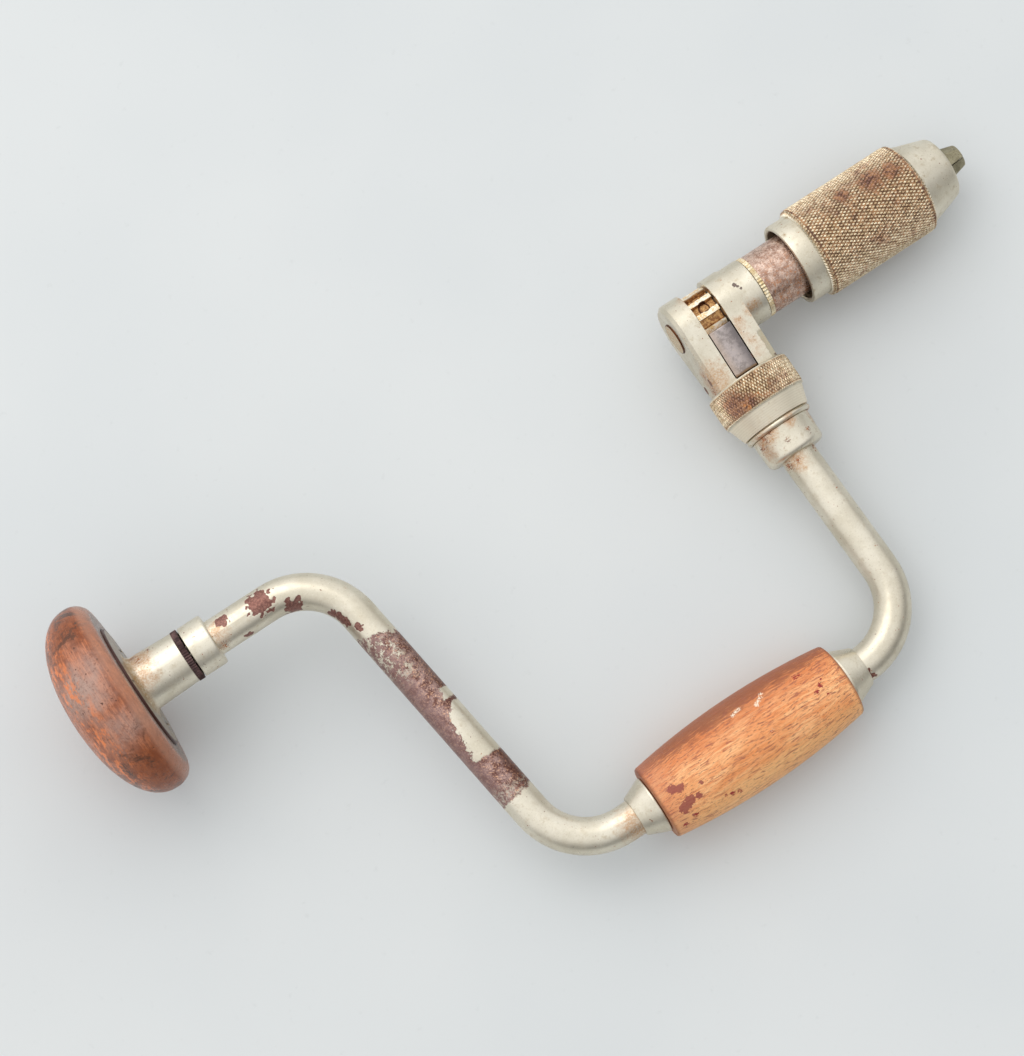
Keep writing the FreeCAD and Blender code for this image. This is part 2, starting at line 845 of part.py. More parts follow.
def wheel_pin_body(gap):
    """Cross pin through a pair of opposite valleys."""
    radius = wheel_pin_diameter / 2 + gap
    half = wheel_root_diameter / 2 - 0.3 + gap
    pin = Part.makeCylinder(radius, 2 * half, Vector(0, 0, -half), Z)
    pin.rotate(spine_start, X, -180.0 / wheel_teeth)
    return pin


def wheel_pin():
    return at_box(wheel_pin_body(0))


def jaw_frame(shape):
    """Turn a shape drawn with its parting plane level to the jaws' rest position."""
    turned_shape = shape.copy()
    turned_shape.rotate(spine_start, X, jaw_turn)
    return at_box(turned_shape)


def chuck_spindle():
    """Journal through the box and slotted barrel that the shell screws onto."""
    journal = journal_of_spindle / 2
    body = turned([
        (ear_outer - spindle_stand, 0),
        (ear_outer - spindle_stand, journal, 0.4),
        (barrel_start, journal),
        (barrel_start, barrel_diameter / 2, 0.3),
        (barrel_end, barrel_diameter / 2, 0.8),
        (barrel_end, 0),
    ])
    body = body.cut(wheel_pin_body(seat_gap))
    floor = jaw_tail - face_gap
    half = jaw_width / 2 + jaw_slot_gap
    slot = Part.makeBox(barrel_end - floor + 1, 2 * half, 2 * barrel_diameter,
                        Vector(floor, -half, -barrel_diameter))
    return jaw_frame(turn_back(body).cut(slot))


def turn_back(shape):
    """Undo the jaws' turn, so that what is drawn level can be cut."""
    turned_shape = shape.copy()
    turned_shape.rotate(spine_start, X, -jaw_turn)
    return turned_shape


def thrust_washer():
    return at_box(serrated(washer_diameter / 2, washer_serration_depth, washer_serrations,
                           journal_of_spindle / 2 + seat_gap, washer_start, barrel_start))


def shell_nose_radius(station):
    """Outside of the shell's conical nose."""
    share = (station - knurl_end) / nose_length
    return nose_base_diameter / 2 + share * (nose_diameter - nose_base_diameter) / 2


def jaw_radius(station):
    """Outside of the jaws' cone."""
    return jaw_tip_radius + (jaw_tip - station) * jaw_slope


def cone_back():
    """Station where the cone ring's outside meets the shell's room."""
    drop = (nose_base_diameter - nose_diameter) / 2 / nose_length
    return knurl_end + (nose_base_diameter / 2 - nose_wall - shell_room_diameter / 2) / drop


def chuck_shell():
    """Knurled shell: plain rear collar, thread, room for the jaws and conical nose."""
    rear = shell_start
    thread_start = rear + shell_rear_depth
    thread_end = thread_start + thread_length
    lip_start = nose_end - nose_lip
    return at_box(turned([
        (rear, shell_rear_bore / 2, 0.4),
        (rear, shell_collar_diameter / 2, 0.5),
        (knurl_start, shell_collar_diameter / 2),
        (knurl_start, shell_diameter / 2, shell_edge),
        (knurl_end, shell_diameter / 2, shell_edge),
        (knurl_end, nose_base_diameter / 2),
        (nose_end, nose_diameter / 2, nose_edge),
        (nose_end, jaw_radius(lip_start) + 0.35, 0.4),
        (lip_start, jaw_radius(lip_start) + 0.35),
        (lip_start, shell_nose_radius(lip_start) - nose_wall),
        (cone_back(), shell_room_diameter / 2),
        (thread_end, shell_room_diameter / 2),
        (thread_end, barrel_diameter / 2 + thread_gap),
        (thread_start, barrel_diameter / 2 + thread_gap),
        (thread_start, shell_rear_bore / 2),
    ]))


def jaw_cone_ring():
    """Hard cone in the shell's nose that shuts the jaws and doesn't turn with the shell."""
    back = cone_back() + face_gap
    front = nose_end - nose_lip - running_gap
    outside = nose_wall + 2 * running_gap
    return at_box(turned([
        (back, jaw_radius(back) + cone_gap),
        (back, shell_nose_radius(back) - outside),
        (front, shell_nose_radius(front) - outside),
        (front, jaw_radius(front) + cone_gap),
    ]))


def eight_sided(radius, station):
    points = []
    for i in range(9):
        angle = math.radians(45 * i)
        reach = radius / math.cos(math.radians(22.5))
        points.append(Vector(station, reach * math.cos(angle), reach * math.sin(angle)))
    return Part.makePolygon(points)


def jaw_blank():
    """Both jaws in one, drawn with the parting plane level."""
    cone_start = jaw_tip - (jaw_body_radius - jaw_tip_radius) / jaw_slope
    body = turned([
        (jaw_tail, 0),
        (jaw_tail + jaw_tail_bevel, jaw_tail_radius, 0.8),
        (jaw_tail + jaw_tail_taper, jaw_body_radius),
        (cone_start, jaw_body_radius, 1.0),
        (jaw_tip, jaw_tip_radius, 0.6),
        (jaw_tip, 0),
    ])
    width = Part.makeBox(jaw_length, jaw_width, 4 * jaw_body_radius,
                         Vector(jaw_tail, -jaw_width / 2, -2 * jaw_body_radius))
    flats = Part.makeLoft([
        eight_sided(jaw_radius(jaw_tail) * jaw_flat, jaw_tail),
        eight_sided(jaw_tip_radius * jaw_flat, jaw_tip),
    ], True, True)
    return body.common(width).common(flats)


def jaw_cuts():
    """What is taken out between the jaws: shank's grip, tang's pocket and spring's room."""
    grip = rod_x(shank_diameter / 2, jaw_tip - shank_grip - 1, jaw_tip + 1)
    half = tang_square / math.sqrt(2)
    front = jaw_tip - shank_grip
    pocket = plate_x([(half, 0), (0, half), (-half, 0), (0, -half)], front - tang_length, front)
    parting = Part.makeBox(2 * jaw_length, 4 * jaw_body_radius, 2 * jaw_half_gap,
                           Vector(jaw_tail - 1, -2 * jaw_body_radius, -jaw_half_gap))
    room = Part.makeBox(jaw_spring_reach + 1.5, jaw_spring_width + 1, 2 * (jaw_spring_half + 0.3),
                        Vector(jaw_tail - 1, -(jaw_spring_width + 1) / 2, -(jaw_spring_half + 0.3)))
    return [grip, pocket, parting, room]


def jaw(side):
    """One jaw; side is 1 for the one above the parting plane when it is drawn level."""
    half_space = Part.makeBox(2 * jaw_length, 4 * jaw_body_radius, 2 * jaw_body_radius,
                              Vector(jaw_tail - 1, -2 * jaw_body_radius, 0))
    if side < 0:
        half_space = half_space.mirror(spine_start, Z)
    blank = jaw_blank().cut(jaw_cuts())
    return jaw_frame(blank.common(half_space))


def jaw_spring():
    """Flat spring bent to a U, its base in the barrel's slot and a leg against each jaw."""
    start = jaw_tail - face_gap
    end = start + jaw_spring_reach
    outer = jaw_spring_half
    inner = outer - jaw_spring_thickness
    corners = [
        (start, -outer, 0.7),
        (start, outer, 0.7),
        (end, outer),
        (end, inner),
        (start + jaw_spring_thickness, inner, 0.2),
        (start + jaw_spring_thickness, -inner, 0.2),
        (end, -inner),
        (end, -outer),
    ]
    strip = Part.Face(outline(corners)).extrude(Z * jaw_spring_width)
    strip.translate(Z * (-jaw_spring_width / 2))
    strip.rotate(spine_start, X, 90)
    return jaw_frame(strip)


def bench_normal():
    """The bench's upward direction under the brace as it lies, in the brace's frame.

    The pad's rim and the front edge of the shell set the spine's dip, and the wrist
    handle, which is lower than the spine, sets the roll.
    """
    rim = pad_diameter / 2
    shell_front = arm_station + knurl_end - shell_edge
    dip = math.atan((rim - shell_diameter / 2) / (shell_front - pad_rim_depth))
    arc = handle_arc_radius()
    touch = wrist_middle + arc * math.sin(dip)
    barrel = handle_diameter / 2 - arc * (1 - math.cos(dip))
    across = -math.sin(dip)
    level = math.cos(dip)
    roll = (level * (rim - barrel) - across * (pad_rim_depth - touch)) / sweep_radius
    return Vector(across, roll, math.sqrt(1 - across ** 2 - roll ** 2))


def bench_placement(shapes):
    """Lay the brace on the bench with the middle of its floor area at the origin."""
    up = bench_normal()
    along = (X - up * X.dot(up)).normalize()
    axes = FreeCAD.Rotation(along, up.cross(along), up, "ZXY")
    lay = FreeCAD.Placement(Vector(0, 0, 0), axes.inverted())
    bounds = FreeCAD.BoundBox()
    for shape in shapes:
        laid = shape.copy()
        laid.Placement = lay.multiply(laid.Placement)
        bounds.add(laid.optimalBoundingBox(False))
    centre = Vector(bounds.Center.x, bounds.Center.y, bounds.ZMin)
    return FreeCAD.Placement(-centre, axes.inverted())


nodes = {
    "head_pad": head_pad(),
    "head_quill": head_quill(),
    "head_screws": head_screws(),
    "head_bearing_cap": head_bearing_cap(),
    "head_bearing_balls": head_bearing_balls(),
    "head_collar": head_collar(),
    "head_washer": head_washer(),
    "head_nut": head_nut(),
    "crank_frame": crank_frame(),
    "wrist_handle": wrist_handle(),
    "handle_ferrule_head_end": handle_ferrule(-1),
    "handle_ferrule_chuck_end": handle_ferrule(1),
    "ratchet_box": ratchet_box(),
    "box_pin": box_pin(),
    "cam_ring": cam_ring(),
    "cam_ring_retainer": cam_ring_retainer(),
    "detent_ball": detent_ball(),
    "detent_spring": detent_spring(),
    "pawl_pins": pawl_pins(),
    "pawl_upper": pawl(1),
    "pawl_lower": pawl(-1),
    "pawl_spring": pawl_spring(),
    "ratchet_wheel": ratchet_wheel(),
    "wheel_pin": wheel_pin(),
    "chuck_spindle": chuck_spindle(),
    "thrust_washer": thrust_washer(),
    "chuck_shell": chuck_shell(),
    "jaw_cone_ring": jaw_cone_ring(),
    "jaw_far_side": jaw(1),
    "jaw_wrist_side": jaw(-1),
    "jaw_spring": jaw_spring(),
}

on_bench = bench_placement(nodes.values())
os.makedirs("parts", exist_ok=True)
for name, shape in nodes.items():
    laid = shape.copy()
    laid.Placement = on_bench.multiply(laid.Placement)
    laid.exportStep("parts/" + name + ".step")
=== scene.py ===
import json
import math
import bpy
from mathutils import Matrix, Vector


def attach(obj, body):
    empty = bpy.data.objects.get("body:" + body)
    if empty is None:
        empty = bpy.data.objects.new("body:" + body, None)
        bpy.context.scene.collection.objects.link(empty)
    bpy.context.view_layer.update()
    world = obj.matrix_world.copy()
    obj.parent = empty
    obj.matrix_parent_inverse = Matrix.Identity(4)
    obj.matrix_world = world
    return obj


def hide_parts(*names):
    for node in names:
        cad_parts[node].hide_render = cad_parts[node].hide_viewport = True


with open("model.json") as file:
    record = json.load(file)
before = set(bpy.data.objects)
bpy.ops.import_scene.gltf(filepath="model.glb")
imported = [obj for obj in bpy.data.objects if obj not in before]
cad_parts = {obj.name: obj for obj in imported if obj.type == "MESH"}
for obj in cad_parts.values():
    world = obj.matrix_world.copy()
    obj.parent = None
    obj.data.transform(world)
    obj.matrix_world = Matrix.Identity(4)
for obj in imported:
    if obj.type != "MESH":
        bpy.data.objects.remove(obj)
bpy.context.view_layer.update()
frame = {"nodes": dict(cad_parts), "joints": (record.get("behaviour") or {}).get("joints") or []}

bpy.ops.object.select_all(action="DESELECT")

# The brace's own frame, in millimetres: x along the spine from the tip of the head's dome,
# y square to it with the wrist handle at minus, z up from the bench


def jointNamed(name):
    return next(joint for joint in frame["joints"] if joint["name"] == name)


def frameOf(alongX, alongY, alongZ, place):
    turn = Matrix((alongX, alongY, alongZ)).transposed().to_4x4()
    return Matrix.Translation(place) @ turn


spineWay = Vector(jointNamed("chuck_turn")["axis"]).normalized()
armWay = Vector(jointNamed("cam_ring_turn")["axis"]).normalized()
upWay = spineWay.cross(-armWay)
armMeet = Vector(jointNamed("chuck_turn")["pos_m"])  # where the cross arm meets the spine
domeTip = min((vertex.co - armMeet).dot(spineWay) for vertex in frame["nodes"]["head_pad"].data.vertices)
braceStart = armMeet + spineWay * domeTip
armX = (armMeet - braceStart).dot(spineWay) * 1000
sweepRadius = 0.127  # metres from the spine to the wrist handle's axis
wristPlace = braceStart + armWay * sweepRadius

braceFrame = frameOf(spineWay, -armWay, upWay, braceStart)
inBrace = Matrix.Diagonal((1000, 1000, 1000, 1)) @ braceFrame.inverted()
wristFrame = frameOf(spineWay, -armWay, upWay, wristPlace)
spineLathe = frameOf(-armWay, upWay, spineWay, braceStart)  # a lathe has its z along the turned piece
wristLathe = frameOf(-armWay, upWay, spineWay, wristPlace)
armLathe = frameOf(spineWay, upWay, armWay, armMeet)


def reach(node):  # lowest and highest corner of a CAD node in the brace's frame
    points = [inBrace @ vertex.co for vertex in frame["nodes"][node].data.vertices]
    low = Vector(min(p[i] for p in points) for i in range(3))
    high = Vector(max(p[i] for p in points) for i in range(3))
    return low, high


print("frame read, arm at", round(armX, 2))

# Camera

camera = {
    "place": (-0.05473, -0.11984, 0.81956),
    "turn": (10.2, 4.0, -33.575),
    "lens": 84.375,
    "sensorWidth": 36,
    "clip": (0.01, 20),
}

cameraData = bpy.data.cameras.new("camera")
cameraData.lens = camera["lens"]
cameraData.sensor_fit = "HORIZONTAL"
cameraData.sensor_width = camera["sensorWidth"]
cameraData.clip_start, cameraData.clip_end = camera["clip"]
cameraObject = bpy.data.objects.new("camera", cameraData)
cameraObject.location = camera["place"]
cameraObject.rotation_euler = [math.radians(angle) for angle in camera["turn"]]
bpy.context.scene.collection.objects.link(cameraObject)
bpy.context.scene.camera = cameraObject
bpy.context.scene.view_settings.view_transform = "Standard"

# Making a turned piece: a circle, extruded ring by ring


def editOn():
    bpy.ops.object.mode_set(mode="EDIT")


def editOff():
    bpy.ops.object.mode_set(mode="OBJECT")


def near(a, b, slack=0.01):
    return abs(a - b) < slack


def pick(test, kind="VERT"):  # selects what passes the test, in edit mode
    bpy.ops.mesh.select_mode(type=kind)
    bpy.ops.mesh.select_all(action="DESELECT")
    editOff()
    mesh = bpy.context.object.data
    items = {"VERT": mesh.vertices, "EDGE": mesh.edges, "FACE": mesh.polygons}[kind]
    for item in items:
        item.select = bool(test(item))
    editOn()


def nextRing(fromRing, toRing):  # one more ring, from (place, radius) to (place, radius)
    bpy.ops.mesh.extrude_region_move(TRANSFORM_OT_translate={"value": (0, 0, toRing[0] - fromRing[0])})
    if abs(toRing[1] - fromRing[1]) > 1e-6:
        grow = toRing[1] / fromRing[1]
        bpy.ops.transform.resize(value=(grow, grow, 1), center_override=(0, 0, toRing[0]))


def turnPiece(name, rings, sides, closed=True):
    bpy.ops.object.select_all(action="DESELECT")
    bpy.ops.mesh.primitive_circle_add(vertices=sides, radius=rings[0][1], location=(0, 0, rings[0][0]))
    piece = bpy.context.object
    piece.name = name
    bpy.ops.object.transform_apply()
    editOn()
    bpy.ops.mesh.select_all(action="SELECT")
    for before, after in zip(rings, rings[1:]):
        nextRing(before, after)
    if closed:
        nextRing(rings[-1], rings[0])
    bpy.ops.mesh.select_all(action="SELECT")
    bpy.ops.mesh.remove_doubles(threshold=0.0005)
    bpy.ops.mesh.normals_make_consistent(inside=False)
    editOff()
    return piece


def lay(piece, place):  # from millimetres on the lathe to its place on the brace
    piece.matrix_world = place @ Matrix.Diagonal((0.001, 0.001, 0.001, 1)) @ piece.matrix_world
    bpy.ops.object.select_all(action="DESELECT")
    piece.select_set(True)
    bpy.context.view_layer.objects.active = piece
    bpy.ops.object.transform_apply()
    bpy.ops.object.shade_smooth_by_angle(angle=math.radians(28))
    bpy.ops.object.select_all(action="DESELECT")


def roundOver(middle, middleRadius, depth, height, power, first, last, steps):
    # rings of a quarter of a rounded form, between two angles from its rim
    rings = []
    for i in range(steps + 1):
        angle = math.radians(first + (last - first) * i / steps)
        along = math.copysign(abs(math.sin(angle)) ** (2 / power), math.sin(angle))
        out = abs(math.cos(angle)) ** (2 / power)
        rings.append((middle + depth * along, middleRadius + height * out))
    return rings


# Materials: small helpers. Places of wear, stains and rust are each (x, y, z, reach) in millimetres,
# in the brace's frame unless noted

tree = None  # the node tree that is being filled


def fillTree(newTree):
    global tree
    tree = newTree


def startMaterial(name):
    material = bpy.data.materials.new(name)
    material.use_nodes = True
    fillTree(material.node_tree)
    tree.nodes.clear()
    out = tree.nodes.new("ShaderNodeOutputMaterial")
    shader = tree.nodes.new("ShaderNodeBsdfPrincipled")
    tree.links.new(shader.outputs["BSDF"], out.inputs["Surface"])
    return material, shader


def join(source, socket):
    if isinstance(source, bpy.types.NodeSocket):
        tree.links.new(source, socket)
    else:
        socket.default_value = source


def node(kind, inputs=None, output=0, **settings):
    made = tree.nodes.new("ShaderNode" + kind)
    for key, value in settings.items():
        setattr(made, key, value)
    for key, value in (inputs or {}).items():
        join(value, made.inputs[key])
    return made.outputs[output]


def maths(operation, a, b=0.0):
    return node("Math", {0: a, 1: b}, operation=operation)


def plus(a, b):
    return maths("ADD", a, b)


def minus(a, b):
    return maths("SUBTRACT", a, b)


def times(a, b):
    return maths("MULTIPLY", a, b)


def larger(a, b):
    return maths("MAXIMUM", a, b)


def swing(value, size, middle=0.5):  # a noise spread to both sides of 0
    return times(minus(value, middle), size)


def without(value, share):  # what is left of the value where the share is taken away
    return times(value, minus(1.0, share))


def mixed(share, a, b):  # colours
    made = tree.nodes.new("ShaderNodeMix")
    made.data_type = "RGBA"
    join(share, made.inputs[0])
    join(a, made.inputs[6])
    join(b, made.inputs[7])
    return made.outputs[2]


def mixedValue(share, a, b):
    made = tree.nodes.new("ShaderNodeMix")
    join(share, made.inputs[0])
    join(a, made.inputs[2])
    join(b, made.inputs[3])
    return made.outputs[0]


def painted(base, share, paint, most=None):  # a colour over the base where the share is 1, at most so strong
    return mixed(share if most is None else times(share, most), base, paint)


def between(value, low, high, toLow=0.0, toHigh=1.0, smooth=True):
    limits = {"From Min": low, "From Max": high, "To Min": toLow, "To Max": toHigh}
    steps = "SMOOTHSTEP" if smooth else "LINEAR"
    return node("MapRange", {"Value": value, **limits}, interpolation_type=steps)


def band(value, low, high, soft):  # 1 between low and high
    return times(between(value, low - soft, low + soft), between(value, high - soft, high + soft, 1, 0))


def noise(where, scale, detail, rough, output=0, distortion=0.0):
    return node("TexNoise", {"Vector": where, "Scale": scale, "Detail": detail, "Roughness": rough,
                             "Distortion": distortion}, output)


def colour(red, green, blue):  # 0 to 255 as seen on a screen, to the linear value that nodes use
    def linear(value):
        value /= 255
        return value / 12.92 if value <= 0.04045 else ((value + 0.055) / 1.055) ** 2.4
    return (linear(red), linear(green), linear(blue), 1)


def vectorMaths(operation, a, b=None):
    inputs = {0: a} if b is None else {0: a, 1: b}
    output = "Value" if operation in ("LENGTH", "DISTANCE", "DOT_PRODUCT") else 0
    return node("VectorMath", inputs, output, operation=operation)


def frameCoordinates(place):  # object coordinates in millimetres in a frame on the brace
    where = node("TexCoord", output="Object")
    placed = {"Location": place.to_translation(), "Rotation": place.to_euler(), "Scale": (0.001,) * 3}
    return node("Mapping", {"Vector": where, **placed}, vector_type="TEXTURE")


def startFinish(name, place=braceFrame):  # a material with its coordinates in a frame on the brace
    material, shader = startMaterial(name)
    return material, shader, frameCoordinates(place)


def stretched(where, x, y, z):
    return vectorMaths("MULTIPLY", where, (x, y, z))


def axisParts(where):  # x, y and z of a coordinate
    split = tree.nodes.new("ShaderNodeSeparateXYZ")
    join(where, split.inputs[0])
    return split.outputs[0], split.outputs[1], split.outputs[2]


def fromAxis(where, across=(0, 1, 1)):  # distance from the x axis, or from the one that across leaves out
    return vectorMaths("LENGTH", stretched(where, *across))


def inside(where, places):  # 1 in the middle of a place (x, y, z, reach), 0 at its reach, below 0 outside
    total = None
    for x, y, z, wide in places:
        share = minus(1.0, maths("DIVIDE", vectorMaths("DISTANCE", where, (x, y, z)), wide))
        total = share if total is None else larger(total, share)
    return total


def spots(where, places, ragged, soft=0.06):  # 1 inside each place, with an edge broken by the ragged value
    return between(plus(inside(where, places), ragged), -soft, soft)


def finish(shader, base, roughness, height, strength, distance=0.0003):
    join(base, shader.inputs["Base Color"])
    join(roughness, shader.inputs["Roughness"])
    bump = node("Bump", {"Height": height, "Strength": strength, "Distance": distance})
    join(bump, shader.inputs["Normal"])


def finishMetal(shader, base, roughness, metal, height, strength=0.25):
    join(metal, shader.inputs["Metallic"])
    finish(shader, base, roughness, height, strength)


# Wooden head: a dome and a flat back with a recess for the flange

pad = {
    "rimDepth": 17.5,
    "domePower": 2.2,
    "backDiameter": 59.0,
    "recessDiameter": 45.64,
    "recessDepth": 1.6,
    "nutRoomRadius": 9.6,
    "nutRoomDepth": 10.95,
    "holeRadius": 0.6,
    "domeSteps": 26,
    "edgeSteps": 9,
    "sides": 160,
    "grainDark": colour(142, 76, 44),
    "grainLight": colour(198, 118, 76),
    "turnedLines": colour(124, 64, 38),
    "paintedSheen": colour(180, 154, 142),
    "sheenPlaces": [(13.0, 4.0, 28.0, 15.0), (17.0, -12.0, 26.0, 13.0)],
    "sideShade": colour(126, 66, 34),
    "darkCloudsAndShade": colour(84, 54, 40),
    "specks": colour(104, 60, 40),
    "dots": colour(70, 40, 30),
    "streaks": colour(238, 132, 70),
    "backEdgeReflection": colour(186, 136, 112),
    "back": colour(124, 108, 98),
    "groove": colour(44, 24, 18),
    "specular": 0.22,
    "coat": 0.06,
    "coatRoughness": 0.16,
}


def headWood():
    # varnished wood: a painted sheen in the middle of the dome, painted shade darker to both sides, with
    # orange streaks near its rim
    material, shader, at = startFinish("headWood")
    along, y = axisParts(at)[:2]
    out = fromAxis(at)
    cloud = noise(at, 0.05, 4, 0.6)
    fine = noise(at, 0.5, 5, 0.7)
    turned = noise(stretched(at, 2.6, 0.2, 0.2), 1.0, 3, 0.55)
    grain = noise(stretched(at, 0.5, 0.09, 0.3), 1.0, 5, 0.65)
    base = mixed(between(grain, 0.38, 0.6), pad["grainDark"], pad["grainLight"])
    base = painted(base, between(turned, 0.44, 0.6, 0, 0.6), pad["turnedLines"])
    # painted sheen: a pale hazy tone in the middle of the dome stands in for a soft highlight
    sheenShare = plus(inside(at, pad["sheenPlaces"]), swing(cloud, 1.6))
    base = painted(base, between(sheenShare, -0.1, 0.7, 0, 0.85), pad["paintedSheen"])
    # painted shade: the dome darker towards both sides where it turns away from the light, with its dark
    # mottling made stronger there as well
    fromMiddle = maths("ABSOLUTE", y)
    base = painted(base, between(fromMiddle, 12.0, 28.0, 0, 0.7), pad["sideShade"])
    dark = between(noise(at, 0.1, 6, 0.78, distortion=0.5), 0.5, 0.6)
    base = painted(base, times(dark, between(fromMiddle, 10.0, 26.0, 0.3, 1.0)), pad["darkCloudsAndShade"])
    base = painted(base, between(noise(at, 1.0, 6, 0.85), 0.52, 0.6, 0, 0.45), pad["specks"])
    dots = between(noise(at, 0.75, 3, 0.62), 0.63, 0.7)
    base = painted(base, dots, pad["dots"], 0.8)
    streaks = between(noise(stretched(at, 0.5, 0.16, 0.16), 1.0, 6, 0.75), 0.5, 0.58)
    onDome = times(between(along, 5.0, 15.0, 1.0, 0.0), between(out, 14.0, 25.0, 0.3, 1.0))
    base = painted(base, times(streaks, onDome), pad["streaks"], 0.85)
    # painted reflection: a paler band on the rim's back edge and a grey band on the flat back stand in for
    # the varnish reflecting at a grazing angle
    backEdgeReflection = times(between(along, 19.5, 22.0), between(out, 28.0, 30.5))
    base = painted(base, backEdgeReflection, pad["backEdgeReflection"], 0.55)
    back = times(between(along, 23.7, 24.1), between(out, 30.5, 28.5))
    base = painted(base, back, pad["back"], 0.75)
    groove = times(band(out, 22.4, 23.3, 0.15), between(along, 22.0, 23.0))  # dark gap round the flange
    base = painted(base, groove, pad["groove"])
    shader.inputs["Specular IOR Level"].default_value = pad["specular"]
    shader.inputs["Coat Weight"].default_value = pad["coat"]
    shader.inputs["Coat Roughness"].default_value = pad["coatRoughness"]
    height = minus(plus(times(fine, 0.4), times(turned, 0.3)), times(dots, 0.6))
    finish(shader, base, between(fine, 0.3, 0.7, 0.22, 0.42), height, 0.35)
    return material


def makePad():
    low, high = reach("head_pad")
    rim = (high.y - low.y) / 2
    back = high.x
    backRadius = pad["backDiameter"] / 2
    recessRadius = pad["recessDiameter"] / 2
    dome, hole = pad["rimDepth"], pad["holeRadius"]
    rings = [(0.004, hole)]
    rings += roundOver(dome, 0, dome, rim, pad["domePower"], -87.5, 0, pad["domeSteps"])
    rings += roundOver(dome, backRadius, back - dome, rim - backRadius, 2, 9, 90, pad["edgeSteps"])
    rings += [
        (back, recessRadius + 0.5),
        (back - 0.25, recessRadius + 0.05),
        (back - pad["recessDepth"], recessRadius),
        (back - pad["recessDepth"], pad["nutRoomRadius"]),
        (back - pad["nutRoomDepth"], pad["nutRoomRadius"]),
        (back - pad["nutRoomDepth"], 0.5),
    ]
    piece = turnPiece("headPad", rings, pad["sides"], closed=False)
    editOn()
    for end in (rings[0][0], rings[-1][0]):  # both small holes in the middle close to a point
        pick(lambda v: near(v.co.z, end) and v.co.xy.length < hole + 0.1)
        bpy.ops.mesh.merge(type="CENTER")
    bpy.ops.mesh.select_all(action="SELECT")
    bpy.ops.mesh.normals_make_consistent(inside=False)
    editOff()
    lay(piece, spineLathe)
    piece.data.materials.append(headWood())
    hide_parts("head_pad")
    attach(piece, "head")
    print("head pad done")


# Wrist handle: a barrel with small rounded edges

handle = {
    "endDiameter": 26.4,
    "edge": 0.8,
    "boreRadius": 6.44,
    "steps": 34,
    "sides": 128,
    "grainDark": colour(236, 152, 94),
    "grainLight": colour(254, 196, 138),
    "clouds": colour(232, 144, 80),
    "hairs": colour(168, 104, 66),
    "farSideShade": colour(204, 112, 58),
    "farEdgeShade": colour(118, 60, 36),
    "nearSideLight": colour(240, 186, 122),
    "flecks": colour(168, 98, 72),
    "pores": colour(124, 72, 58),
    "leftEnd": colour(190, 124, 100),
    "paint": colour(144, 66, 60),
    "redPaint": colour(150, 44, 38),
    "scratches": colour(240, 222, 196),
    "rims": colour(112, 56, 34),
    "specular": 0.38,
    "paintPlaces": [  # these three in the wrist's frame
        (152.4, 0.9, 13.7, 1.5), (154.8, -0.1, 14.0, 1.5), (152.7, -6.4, 12.4, 1.9),
        (155.3, -5.0, 13.1, 1.8), (158.6, -5.3, 13.4, 1.2), (161.5, -2.2, 14.5, 0.9),
        (154.0, -9.6, 10.3, 0.7),
    ],
    "redPlaces": [
        (154.7, -10.0, 9.9, 0.8), (168.6, -10.6, 10.9, 1.0), (171.1, -11.4, 10.2, 0.9),
        (166.4, -10.2, 11.3, 0.6), (206.8, 8.9, 11.6, 1.0), (208.4, 8.6, 11.6, 0.7),
        (211.8, 2.2, 14.0, 0.8), (209.8, 1.1, 14.3, 0.8), (213.4, 4.0, 13.6, 0.5),
        (190.0, -1.4, 15.3, 0.8), (212.5, -1.2, 14.0, 0.6), (150.3, -11.0, 8.0, 0.9),
    ],
    "scratchPlaces": [
        (182.8, 9.8, 12.2, 0.6), (184.0, 10.2, 11.8, 0.6), (185.4, 10.3, 11.6, 0.6),
        (191.0, 8.4, 13.1, 0.6), (192.0, 9.0, 12.6, 0.6), (193.2, 9.7, 12.0, 0.6),
        (194.4, 10.6, 11.2, 0.5), (190.2, -0.8, 15.3, 0.5),
    ],
}


